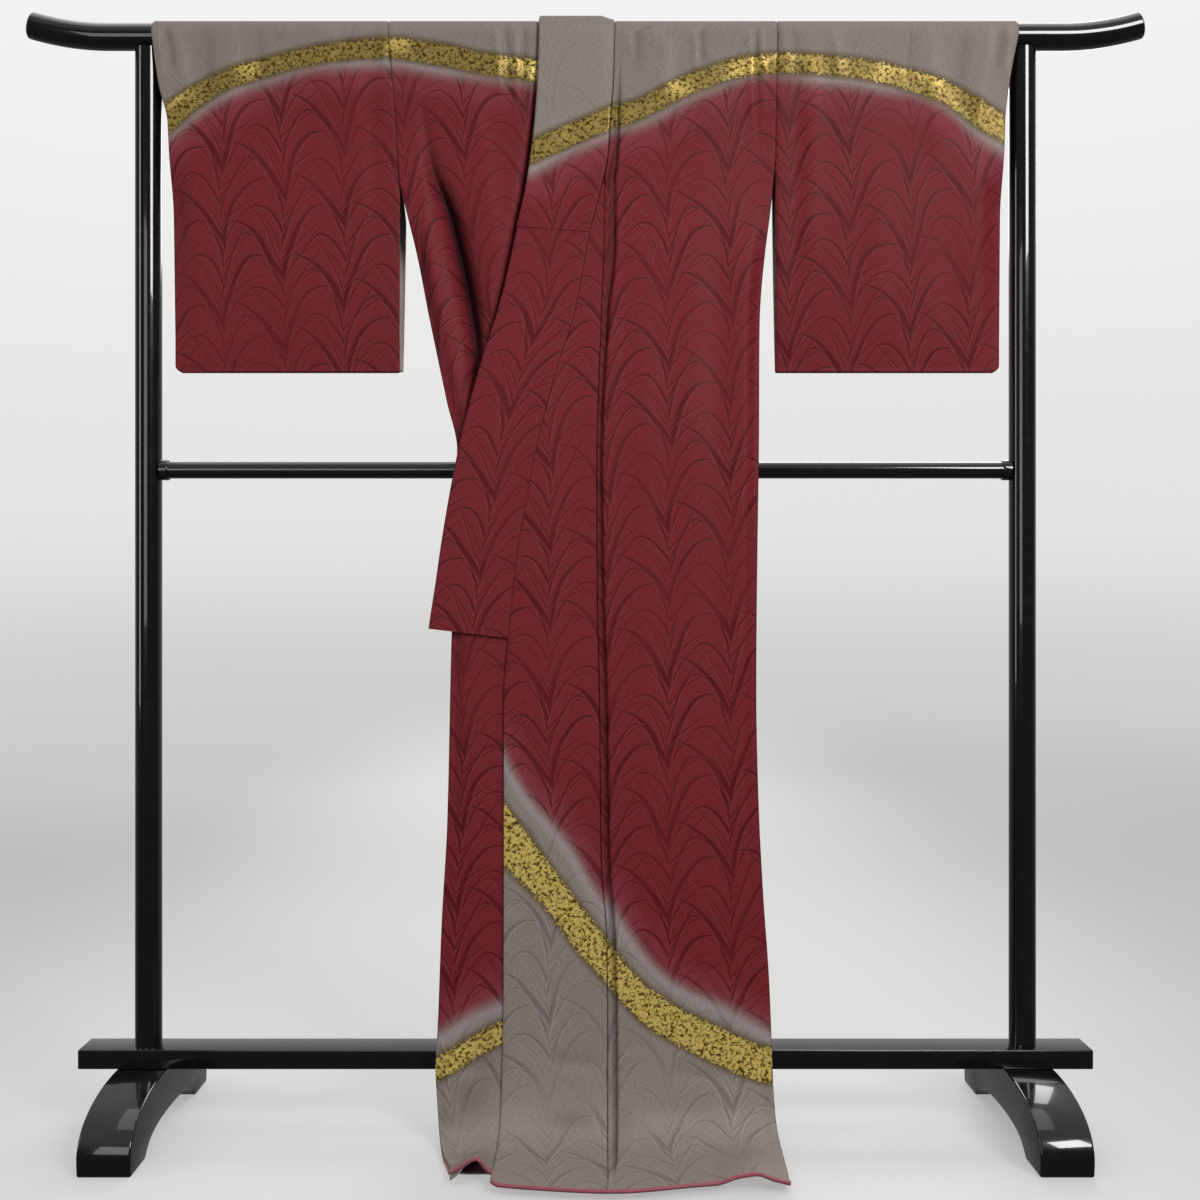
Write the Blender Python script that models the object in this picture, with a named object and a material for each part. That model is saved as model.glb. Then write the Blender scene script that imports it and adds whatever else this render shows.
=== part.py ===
"""Kimono hung over the top bar of a lacquered kimono stand.

The origin is on the floor under the middle of the part, +X to the viewer's right, +Y to the back, +Z up.
All lengths are metres. Left and right are the wearer's, so the right sleeve is at -X.

The cloth hangs from the top bar. A point on a panel is given by its place across (X), by its run, which is
the length of cloth below the bar, and by its layer, counted outwards from the right front.
"""
import math

import bmesh
import bpy
import numpy as np

# The stand
STAND_BACK = 0.0365         # the posts stand this far behind the origin
BAR_HEIGHT = 1.5767
BAR_RADIUS = 0.019
BAR_HALF = 0.803
BAR_STRAIGHT = 0.690        # the bar is straight out to here and curves up beyond
BAR_RISE = 0.017
BAR_EDGE = 0.0025           # rounding of the bar's ends
BAR_TIP_ROWS = 5
BAR_MIDDLE = 0.30           # an extra row on each side of the bar's middle
POST_ACROSS = 0.633
POST_RADIUS = 0.019
RAIL_HEIGHT = 0.949
RAIL_RADIUS = 0.012
RAIL_COLLAR_RADIUS = 0.0145
RAIL_COLLAR_LENGTH = 0.010
RAIL_COLLAR_EDGE = 0.0012
BEAM_HALF = 0.726
BEAM_DEPTH = 0.0574
BEAM_BOTTOM = 0.0897
BEAM_TOP = 0.1173
BEAM_EDGE = 0.0015
FOOT_ACROSS = 0.635
FOOT_WIDTH = 0.072
STAND_SIDES = 24

# The cloth
CLOTH = 0.002               # wall of the lined silk
SEAM = 0.0003               # space between two pieces that are sewn together
LAYER = CLOTH + 0.0004      # from one layer of cloth to the next one on top
ON_BAR = BAR_RADIUS + SEAM + CLOTH / 2
HEM_ROLL_RADIUS = 0.0019    # the lining rolled out along the hem
HEM_ROLL_SIDES = 6
HEM_ROLL_GAP = 0.0009       # space between the straight runs of the hem's edge and the roll

# Places along the run
LEFT_UNDERARM_RUN = 0.18    # where the left sleeve's seam ends
KENSAKI_RUN = 0.22          # the tip of the front overlap, where it starts beside the collar
RIGHT_UNDERARM_RUN = KENSAKI_RUN
OVER_COLLAR_RUN = 0.29      # where the over-collar ends
COLLAR_RUN = 0.87           # where the collar ends
HEM_RUN = 1.725
NECK_RUN = 0.030            # depth of the neck cut in the back panels
COLLAR_BACK_RUN = 0.050     # how far the collar hangs down behind the bar
CENTRE_BACK = -0.0130
COLLAR_SLOPE_FROM = 0.021   # over the bar the collar slopes down to its seam between these two places
COLLAR_SLOPE_TO = 0.040
FRONT_RUNS = (0, 0.03, 0.075, 0.13, LEFT_UNDERARM_RUN, KENSAKI_RUN, OVER_COLLAR_RUN, 0.35, 0.42, 0.50, 0.60,
              0.70, 0.79, COLLAR_RUN, 0.98, 1.10, 1.22, 1.34, 1.427, 1.487, 1.512, 1.534, 1.553, 1.571, 1.60,
              1.64, 1.68, HEM_RUN)
BACK_RUNS = (0, NECK_RUN, 0.034, 0.075, 0.13, LEFT_UNDERARM_RUN, KENSAKI_RUN, 0.30, 0.38, 0.46, 0.58, 0.70,
             0.84, 0.98, 1.14, 1.30, 1.427, 1.487, 1.512, 1.534, 1.553, 1.571, 1.60, 1.64, 1.68)
BAR_STEPS = 7               # rows of cloth over the bar between its front and its back
BAR_SWELL = 1 / math.cos(math.pi / (2 * (BAR_STEPS + 1)))   # keeps the flats between those rows off the bar
CROSS_RUN = 0.13            # below this run the left front lies fully over the right one
SHOULDER_FROM = 0.17        # outside these two places the left front lies on the bar, down to the runs below
SHOULDER_TO = 0.26
SHOULDER_DROP_RUN = 0.20
SHOULDER_END_RUN = 0.34
SIDE_SEAM_WIDTH = 0.022     # strip in which a front and its back come together at their sewn side
SIDE_SEAM_FROM_RUN = 0.24
SIDE_SEAM_RUN = 0.37
NORMAL_REACH = 0.002        # half of the length over which the cloth's slope is taken
BODY_COLUMNS = 14
OKUMI_COLUMNS = 5
COLLAR_COLUMNS = 6
COLLAR_BACK_ROWS = 3
OVER_COLLAR_INSET = 0.0006
COLLAR_END_SLANT = 0.013    # how much the lower end of the collar runs up to one side
OVER_COLLAR_END_SLANT = 0.0078
COLLAR_END_REACH = 0.09
COLLAR_BEHIND_TURN = 0.95 * math.pi   # turned this far round the bar, the left collar is flat again


def table(columns, *rows):
    """A short table, held as one array for each named column."""
    return {name: np.array(values, float) for name, values in zip(columns.split(), zip(*rows))}


# Side view of a foot from the middle of its sole round the toe to the middle of its top
FOOT_OUTLINE = table(
    "forward height",
    (0.000, 0.0300),
    (0.060, 0.0280),
    (0.100, 0.0200),
    (0.118, 0.0090),
    (0.128, 0.0000),
    (0.193, 0.0000),
    (0.195, 0.0370),
    (0.190, 0.0480),
    (0.178, 0.0585),
    (0.158, 0.0690),
    (0.130, 0.0785),
    (0.095, 0.0856),
    (0.060, 0.0890),
    (0.030, 0.0897),
)
# Side view of the right front, from the bar to the hem. The cloth comes forward on to the floor.
FRONT_HANG = table(
    "height forward",
    (BAR_HEIGHT, ON_BAR),
    (1.450, 0.0208),
    (1.360, 0.0225),
    (1.200, 0.0300),
    (0.950, 0.0435),
    (0.600, 0.0485),
    (0.300, 0.0525),
    (0.150, 0.0565),
    (0.090, 0.0610),
    (0.045, 0.0720),
    (0.018, 0.0980),
    (0.0080, 0.1400),
    (0.0065, 0.1900),
    (0.0063, 0.3000),
)
# Side view of the back panels, which pass in front of the stand's rail and beam
BACK_HANG = table(
    "height forward",
    (BAR_HEIGHT, -ON_BAR),
    (1.360, -0.0180),
    (1.200, -0.0040),
    (1.080, 0.0100),
    (0.970, 0.0250),
    (0.600, 0.0320),
    (0.300, 0.0370),
    (0.120, 0.0415),
    (0.075, 0.0460),
    (0.035, 0.0600),
    (0.010, 0.0900),
    (0.0035, 0.1300),
    (0.0025, 0.1800),
    (0.0024, 0.3000),
)
# Where each edge lies across, by its run
RIGHT_SIDE = table(
    "run across",
    (0.000, -0.2835),
    (0.099, -0.2747),
    (RIGHT_UNDERARM_RUN, -0.2660),
    (0.260, -0.2565),
    (0.314, -0.2438),
    (0.388, -0.2292),
    (0.531, -0.1986),
    (0.602, -0.1830),
    (0.731, -0.1853),
    (0.861, -0.1900),
    (1.137, -0.1960),
    (1.272, -0.2035),
    (1.430, -0.2094),
    (1.475, -0.2120),
    (1.536, -0.2076),
    (1.620, -0.1942),
    (1.684, -0.1800),
    (1.760, -0.1740),
)
LEFT_SIDE = table(
    "run across",
    (0.000, 0.2757),
    (LEFT_UNDERARM_RUN, 0.2722),
    (0.246, 0.2664),
    (0.316, 0.2582),
    (0.419, 0.2499),
    (0.532, 0.2479),
    (0.958, 0.2425),
    (1.093, 0.2450),
    (1.227, 0.2511),
    (1.361, 0.2598),
    (1.494, 0.2645),
    (1.535, 0.2659),
    (1.607, 0.2681),
    (1.760, 0.2630),
)
LEFT_COLLAR = table(
    "run free seam",
    (0.000, -0.0670, 0.0422),
    (0.075, -0.0694, 0.0398),
    (0.120, -0.0725, 0.0365),
    (0.182, -0.0794, 0.0320),
    (0.236, -0.0879, 0.0205),
    (0.290, -0.0992, 0.0064),
    (0.368, -0.1160, -0.0078),
    (0.417, -0.1290, -0.0178),
    (0.464, -0.1444, -0.0334),
    (0.590, -0.1775, -0.0674),
    (0.682, -0.1955, -0.0850),
    (0.765, -0.2085, -0.0984),
    (0.870, -0.2220, -0.1089),
)
RIGHT_COLLAR = table(
    "run seam free",
    (0.000, -0.0680, 0.0115),
    (0.130, -0.0640, 0.0120),
    (0.220, -0.0500, 0.0450),
    (0.290, -0.0320, 0.0700),
    (0.420, 0.0050, 0.1080),
    (0.600, 0.0600, 0.1600),
    (0.750, 0.0920, 0.1920),
    (0.870, 0.1100, 0.2120),
)
LEFT_OKUMI_EDGE = table(
    "run across",
    (0.870, -0.1089),
    (0.958, -0.1152),
    (1.379, -0.1155),
    (1.490, -0.1172),
    (1.575, -0.1190),
    (1.760, -0.1225),
)
RIGHT_OKUMI_EDGE = table("run across", (0.870, 0.1100), (1.100, 0.1220), (1.760, 0.1350))
LEFT_OKUMI_SEAM = table(
    "run across",
    (0.000, 0.0425),
    (0.217, 0.0272),
    (0.310, 0.0262),
    (0.417, 0.0225),
    (0.620, 0.0165),
    (0.800, 0.0170),
    (0.958, 0.0200),
    (1.180, 0.0225),
    (1.294, 0.0300),
    (1.410, 0.0315),
    (1.540, 0.0310),
    (1.760, 0.0280),
)
RIGHT_OKUMI_SEAM = table(
    "run across",
    (0.000, -0.0680),
    (0.130, -0.0650),
    (0.220, -0.0535),
    (0.420, -0.0250),
    (0.870, 0.0000),
    (1.760, 0.0050),
)
# The narrow tuck pressed into the left front beside its overlap's seam, by its width
TUCK = table(
    "run width",
    (0.000, 0.0030),
    (0.130, 0.0100),
    (0.310, 0.0140),
    (0.417, 0.0074),
    (0.600, 0.0040),
    (0.958, 0.0075),
    (1.294, 0.0090),
    (1.540, 0.0110),
    (1.760, 0.0030),
)
TUCK_HEIGHT = 0.0025
TUCK_STEP = 0.002           # how far its height is spread at its edge
TUCK_FOOT = 0.014           # flat strip kept beside it
TUCK_FROM_RUN = 0.02
TUCK_FADE_RUN = 1.60
TUCK_END_RUN = 1.70
# The deep trough in the right front, from the sleeve's seam down behind the collar
TROUGH = table(
    "run across depth half_width",
    (0.100, -0.2350, 0.0000, 0.026),
    (0.190, -0.2214, 0.0060, 0.022),
    (0.250, -0.1983, 0.0110, 0.022),
    (0.323, -0.1794, 0.0140, 0.022),
    (0.396, -0.1649, 0.0140, 0.022),
    (0.460, -0.1562, 0.0110, 0.020),
    (0.600, -0.1600, 0.0040, 0.018),
    (0.720, -0.1700, 0.0000, 0.018),
)
# How far the left hem stops short of its run or passes it
LEFT_HEM = table(
    "across extra",
    (-0.1225, -0.009),
    (-0.0840, 0.000),
    (0.0340, 0.014),
    (0.1650, -0.010),
    (0.2220, -0.016),
    (0.2450, -0.012),
    (0.2650, -0.012),
)
RIGHT_HEM_EXTRA = -0.041
HEM_STRETCH_RUN = 1.56      # from here down the cloth is stretched to that outline
# How high the waves of the hem stand off the floor
HEM_WAVES = table(
    "across lift",
    (-0.190, 0.000),
    (-0.165, 0.013),
    (-0.142, 0.025),
    (-0.130, 0.013),
    (-0.112, 0.000),
    (0.165, 0.000),
    (0.200, 0.008),
    (0.222, 0.010),
    (0.245, 0.004),
    (0.265, 0.000),
)
WAVES_FROM_RUN = 1.59
WAVES_FULL_RUN = 1.68
HEM_ROLL_END = 0.001        # the roll stops this far inside the front edge
HEM_ROLL_SIDE = 0.024       # and this far inside the sewn side
LEFT_HEM_ROLL_ROWS = 30
RIGHT_HEM_ROLL_ROWS = 24
# Folds of the back panels and the runs where they start, are full, begin to fade and are gone
BACK_FOLD_DEPTH = 0.007
BACK_FOLD_SPACING = 0.078
BACK_FOLD_RUNS = (0.06, 0.50, 1.42, 1.52)
# The sleeves, by the run of their front
RIGHT_CUFF = table(
    "run across",
    (0.000, -0.6235),
    (0.075, -0.6130),
    (0.130, -0.6000),
    (0.220, -0.5972),
    (0.440, -0.5940),
)
LEFT_CUFF = table(
    "run across",
    (0.000, 0.6225),
    (0.075, 0.6085),
    (0.130, 0.6025),
    (0.220, 0.6010),
    (0.440, 0.5992),
)
RIGHT_SLEEVE_EDGE = table("run across", (RIGHT_UNDERARM_RUN, -0.2660), (0.486, -0.2690))
LEFT_SLEEVE_EDGE = table("run across", (LEFT_UNDERARM_RUN, 0.2722), (0.328, 0.2733), (0.486, 0.2747))
SLEEVE_HANG = table(
    "run half_depth",
    (0.000, ON_BAR),
    (0.130, ON_BAR),
    (0.220, 0.0196),
    (0.350, 0.0140),
    (0.440, 0.0075),
    (0.480, 0.0032),
)
SLEEVE_RUNS = (0, 0.03, 0.075, 0.13, LEFT_UNDERARM_RUN, KENSAKI_RUN, 0.29, 0.35, 0.40, 0.44, 0.462)
SLEEVE_BOTTOM_RUN = 0.486
SLEEVE_BOTTOM_STEPS = 5
SLEEVE_SPREAD = (0.0, 0.2, 0.42, 0.62, 0.78, 0.87, 0.93, 0.975, 1.0)
SLEEVE_SEWN_FROM = 0.16     # below this run the outer edge starts to close
SLEEVE_SEWN_RUN = 0.26      # below this run it is sewn shut
SLEEVE_EDGE_WIDTH = 0.040
SLEEVE_CORNER = 0.008
SLEEVE_CORNER_RUN = 0.474
SEWN_HALF = CLOTH / 2 + SEAM / 2

# Colours, roughness
RED_SILK = (0.215, 0.030, 0.036)
PALE_RED_SILK = (0.240, 0.036, 0.042)
DARK_RED_SILK = (0.150, 0.020, 0.026)
PINK_LINING = (0.330, 0.090, 0.110)
LACQUER = (0.006, 0.006, 0.007)
SILK_ROUGHNESS = 0.55
LACQUER_ROUGHNESS = 0.12
SHARP_ANGLE = 40            # degrees
BEVEL_ANGLE = 35


def smooth_at(keys, values, at):
    """A smooth curve through the rows of a table that never overshoots them."""
    at = np.clip(np.asarray(at, float), keys[0], keys[-1])
    step = np.diff(keys)
    slope = np.diff(values) / step
    tangent = np.zeros(len(keys))
    tangent[0] = slope[0]
    tangent[-1] = slope[-1]
    for i in range(1, len(keys) - 1):
        if slope[i - 1] * slope[i] > 0:
            before = 2 * step[i] + step[i - 1]
            after = step[i] + 2 * step[i - 1]
            tangent[i] = (before + after) / (before / slope[i - 1] + after / slope[i])
    i = np.clip(np.searchsorted(keys, at, side="right") - 1, 0, len(keys) - 2)
    t = (at - keys[i]) / step[i]
    start = (1 + 2 * t) * (1 - t) ** 2 * values[i] + t * (1 - t) ** 2 * step[i] * tangent[i]
    end = t * t * (3 - 2 * t) * values[i + 1] + t * t * (t - 1) * step[i] * tangent[i + 1]
    return start + end


def read(rows, column, at, key="run"):
    """One column of a table at a place along its first column."""
    return smooth_at(rows[key], rows[column], at)


def ease(at, start, end):
    """From 0 at start to 1 at end, with no corner."""
    t = np.clip((at - start) / (end - start), 0.0, 1.0)
    return t * t * (3 - 2 * t)


def add_run(hang):
    """Give a side view its own column of cloth lengths."""
    lengths = np.hypot(np.diff(hang["height"]), np.diff(hang["forward"]))
    hang["run"] = np.concatenate([[0.0], np.cumsum(lengths)])


add_run(FRONT_HANG)
add_run(BACK_HANG)


def side_view(hang, run):
    """Forward place, height and outward normal of a hanging layer at each run."""
    forward = read(hang, "forward", run)
    height = read(hang, "height", run)
    along_forward = read(hang, "forward", run + NORMAL_REACH) - read(hang, "forward", run - NORMAL_REACH)
    along_height = read(hang, "height", run + NORMAL_REACH) - read(hang, "height", run - NORMAL_REACH)
    length = np.hypot(along_forward, along_height)
    return forward, height, -along_height / length, along_forward / length


def trough_depth(across, run):
    """How far the right front sinks at its deep trough."""
    middle = read(TROUGH, "across", run)
    width = read(TROUGH, "half_width", run)
    depth = read(TROUGH, "depth", run)
    return depth * np.exp(-((across - middle) / width) ** 2)


def floor_lift(across, run):
    """How far the waves of the hem lift the front layers off the floor."""
    return read(HEM_WAVES, "lift", across, "across") * ease(run, WAVES_FROM_RUN, WAVES_FULL_RUN)


def hem_run(across, run, left):
    """The run, stretched near the hem so that the hem takes its outline."""
    extra = read(LEFT_HEM, "extra", across, "across") if left else RIGHT_HEM_EXTRA
    return run + extra * ease(run, HEM_STRETCH_RUN, HEM_RUN)


def front_point(across, run, lift):
    """Centre of a front layer, lifted off the right front's own layer."""
    run = np.broadcast_to(run, across.shape)
    forward, height, out_forward, out_height = side_view(FRONT_HANG, run)
    rise = lift + floor_lift(across, run)
    centre = np.stack([across, -(forward + out_forward * rise), height + out_height * rise], -1)
    normal = np.stack([np.zeros_like(across), -out_forward, out_height], -1)
    return centre, normal


def back_point(across, run):
    """Centre of the back panels, in soft folds that fade out at the bar and on the floor."""
    run = np.broadcast_to(run, across.shape)
    forward, height, out_forward, out_height = side_view(BACK_HANG, run)
    start, full, fade, gone = BACK_FOLD_RUNS
    depth = BACK_FOLD_DEPTH * ease(run, start, full) * (1 - ease(run, fade, gone))
    wave = -depth * np.cos(2 * math.pi * (across - CENTRE_BACK) / BACK_FOLD_SPACING)
    centre = np.stack([across, -(forward + out_forward * wave), height + out_height * wave], -1)
    normal = np.stack([np.zeros_like(across), -out_forward, out_height], -1)
    return centre, normal


def bar_point(across, angle, lift):
    """Centre of a layer that lies over the bar, from its front at angle 0 to its back at pi."""
    radius = ON_BAR * BAR_SWELL + lift
    centre = np.stack([across, -radius * math.cos(angle), BAR_HEIGHT + radius * math.sin(angle)], -1)
    normal = np.stack([np.zeros_like(across), np.full_like(across, -math.cos(angle)),
                       np.full_like(across, math.sin(angle))], -1)
    return centre, normal


def left_lift(across, run):
    """The left front lies on the bar at the shoulder and over the right front and its collar below."""
    above = 1 - ease(run, SHOULDER_DROP_RUN, SHOULDER_END_RUN)
    at_shoulder = ease(across, SHOULDER_FROM, SHOULDER_TO) * above
    return 2 * LAYER * ease(run, 0.0, CROSS_RUN) * (1 - at_shoulder)


def collar_lift(across, run):
    """The left collar crosses the bar on top of the right one and slopes down to its own seam."""
    over_bar = 2 * LAYER * (1 - ease(across, COLLAR_SLOPE_FROM, COLLAR_SLOPE_TO))
    below = ease(run, 0.0, CROSS_RUN)
    return over_bar * (1 - below) + 2 * LAYER * below


def sewn_side(centre, other, normal, edge_distance, run, sign):
    """Bring the side of a front and its back together where they are sewn below the underarm."""
    near_edge = ease(edge_distance, SIDE_SEAM_WIDTH, 0.0)
    close = near_edge * ease(run, SIDE_SEAM_FROM_RUN, SIDE_SEAM_RUN)
    middle = (centre + other) / 2 + normal * sign * SEWN_HALF
    return centre + (middle - centre) * close[..., None]


def new_material(name, colour, roughness):
    material = bpy.data.materials.new(name)
    material.use_nodes = True
    shader = material.node_tree.nodes["Principled BSDF"]
    shader.inputs["Base Color"].default_value = (*colour, 1.0)
    shader.inputs["Roughness"].default_value = roughness
    shader.inputs["Metallic"].default_value = 0.0
    return material


def add_object(name, points, faces, stand, colour, roughness, smooth=True):
    """One closed sub-part, placed from the middle of the stand."""
    mesh = bpy.data.meshes.new(name)
    mesh.from_pydata([tuple(float(c) for c in point) for point in points], [], faces)
    body = bmesh.new()
    body.from_mesh(mesh)
    bmesh.ops.triangulate(body, faces=body.faces)
    bmesh.ops.recalc_face_normals(body, faces=body.faces)
    if body.calc_volume(signed=True) < 0:
        bmesh.ops.reverse_faces(body, faces=body.faces)
    body.to_mesh(mesh)
    body.free()
    if smooth:
        mesh.shade_smooth()
        mesh.set_sharp_from_angle(angle=math.radians(SHARP_ANGLE))
    piece = bpy.data.objects.new(name, mesh)
    bpy.context.scene.collection.objects.link(piece)
    piece.parent = stand
    mesh.materials.append(new_material(name + "_finish", colour, roughness))
    return piece


def wall(name, centre, normal, stand, colour, thickness=CLOTH):
    """Cloth of an even thickness on a grid of centre points, closed round its edges."""
    rows, columns = centre.shape[:2]
    outer = (centre + normal * thickness / 2).reshape(-1, 3)
    inner = (centre - normal * thickness / 2).reshape(-1, 3)
    count = rows * columns

    def index(row, column, side):
        return side * count + row * columns + column

    faces = []
    for row in range(rows - 1):
        for column in range(columns - 1):
            for side in (0, 1):
                faces.append((index(row, column, side), index(row, column + 1, side),
                              index(row + 1, column + 1, side), index(row + 1, column, side)))
    for row in range(rows - 1):
        for column in (0, columns - 1):
            faces.append((index(row, column, 0), index(row + 1, column, 0),
                          index(row + 1, column, 1), index(row, column, 1)))
    for column in range(columns - 1):
        for row in (0, rows - 1):
            faces.append((index(row, column, 0), index(row, column + 1, 0),
                          index(row, column + 1, 1), index(row, column, 1)))
    return add_object(name, np.concatenate([outer, inner]), faces, stand, colour, SILK_ROUGHNESS)


def across_rows(low, high, spread):
    """A row of places from one edge to the other."""
    return low + (high - low) * spread


def bar_angles():
    return np.linspace(0, math.pi, BAR_STEPS + 2)[1:-1]


def body_panel(name, stand, colour, left):
    """One body panel: the front, over the bar, and the back, in one length of cloth."""
    side = LEFT_SIDE if left else RIGHT_SIDE
    inward = -1 if left else 1
    columns = BODY_COLUMNS
    back_spread = np.linspace(0, 1, columns)
    centres = []
    normals = []

    def front_inner(run):
        edge = read(LEFT_OKUMI_SEAM if left else RIGHT_OKUMI_SEAM, "across", run)
        if run <= KENSAKI_RUN:
            collar = read(LEFT_COLLAR if left else RIGHT_COLLAR, "seam", run)
            edge = max(edge, collar) if left else min(edge, collar)
        return edge - inward * SEAM / 2

    def outer_edge(run):
        return read(side, "across", run) + inward * SEAM / 2

    for run in reversed(FRONT_RUNS):
        low = outer_edge(run)
        high = front_inner(run)
        across = across_rows(low, high, back_spread)
        lift = np.zeros(columns)
        if left:
            tuck = float(read(TUCK, "width", run))
            far = high + TUCK_FOOT + tuck
            across = np.concatenate([across_rows(low, far, np.linspace(0, 1, columns - 3)),
                                     [high + tuck + TUCK_STEP, high + tuck, high]])
            raised = np.zeros(columns)
            shown = ease(run, TUCK_FROM_RUN, CROSS_RUN) * (1 - ease(run, TUCK_FADE_RUN, TUCK_END_RUN))
            raised[-2:] = TUCK_HEIGHT * shown
            lift = left_lift(across, run) + raised
        else:
            lift = -trough_depth(across, run)
        stretched = hem_run(across, run, left)
        centre, normal = front_point(across, stretched, lift)
        other = back_point(across, run)[0]
        centre = sewn_side(centre, other, normal, np.abs(across - low), run, 1)
        centres.append(centre)
        normals.append(normal)
    neck = read(LEFT_COLLAR if left else RIGHT_COLLAR, "seam", 0.0) - inward * SEAM / 2
    for angle in bar_angles():
        across = across_rows(outer_edge(0.0), neck, back_spread)
        centre, normal = bar_point(across, angle, np.zeros(columns))
        centres.append(centre)
        normals.append(normal)
    for run in BACK_RUNS:
        low = outer_edge(run)
        high = neck if run <= NECK_RUN else CENTRE_BACK - inward * SEAM / 2
        across = across_rows(low, high, back_spread)
        centre, normal = back_point(across, run)
        lift = left_lift(across, run) if left else np.zeros(columns)
        other = front_point(across, run, lift)[0]
        centre = sewn_side(centre, other, normal, np.abs(across - low), run, -1)
        centres.append(centre)
        normals.append(-normal)
    return wall(name, np.stack(centres), np.stack(normals), stand, colour)


def okumi_panel(name, stand, colour, left):
    """The overlap sewn between a front and the collar, from its tip down to the hem."""
    columns = OKUMI_COLUMNS
    spread = np.linspace(0, 1, columns)
    centres = []
    normals = []
    for run in [r for r in FRONT_RUNS if r >= KENSAKI_RUN]:
        if left:
            collar_side = read(LEFT_COLLAR, "seam", run) if run <= COLLAR_RUN else read(
                LEFT_OKUMI_EDGE, "across", run)
            low = collar_side + SEAM / 2
            high = read(LEFT_OKUMI_SEAM, "across", run) - SEAM / 2
        else:
            collar_side = read(RIGHT_COLLAR, "seam", run) if run <= COLLAR_RUN else read(
                RIGHT_OKUMI_EDGE, "across", run)
            low = read(RIGHT_OKUMI_SEAM, "across", run) + SEAM / 2
            high = collar_side - SEAM / 2
        across = across_rows(low, high, spread)
        lift = left_lift(across, run) if left else np.zeros(columns)
        centre, normal = front_point(across, hem_run(across, run, left), lift)
        centres.append(centre)
        normals.append(normal)
    return wall(name, np.stack(centres), np.stack(normals), stand, colour)


def collar_strip(name, stand, colour, left, over):
    """Half of the collar, or of the over-collar on it, from its end up and over the bar at the neck."""
    rows = LEFT_COLLAR if left else RIGHT_COLLAR
    last = OVER_COLLAR_RUN if over else COLLAR_RUN
    columns = COLLAR_COLUMNS
    spread = np.linspace(0, 1, columns)
    shown = LAYER if over else 0.0
    margin = OVER_COLLAR_INSET if over else SEAM / 2
    end_slant = OVER_COLLAR_END_SLANT if over else COLLAR_END_SLANT
    centres = []
    normals = []

    def edges(run):
        first, second = ("free", "seam") if left else ("seam", "free")
        return read(rows, first, run) + margin, read(rows, second, run) - margin

    for run in [r for r in reversed(FRONT_RUNS) if r <= last]:
        low, high = edges(run)
        across = across_rows(low, high, spread)
        lift = collar_lift(across, run) if left else np.zeros(columns)
        slant = (1 - spread) if left else spread
        cut = run - end_slant * slant * ease(run, last - COLLAR_END_REACH, last)
        centre, normal = front_point(across, cut, lift + shown)
        centres.append(centre)
        normals.append(normal)
    low, high = edges(0.0)
    across = across_rows(low, high, spread)
    for angle in bar_angles():
        behind = ease(angle, math.pi / 2, COLLAR_BEHIND_TURN)
        lift = np.zeros(columns)
        if left:
            lift = collar_lift(across, 0.0) * (1 - behind) + 2 * LAYER * behind
        centre, normal = bar_point(across, angle, lift + shown)
        centres.append(centre)
        normals.append(normal)
    end = COLLAR_BACK_RUN if left or over else NECK_RUN - SEAM
    for run in np.linspace(0, end, COLLAR_BACK_ROWS):
        lift = np.full(columns, (2 * LAYER if left else 0.0) + shown)
        centre, normal = back_point(across, run)
        centres.append(centre - normal * lift[:, None])
        normals.append(-normal)
    return wall(name, np.stack(centres), np.stack(normals), stand, colour)


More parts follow.
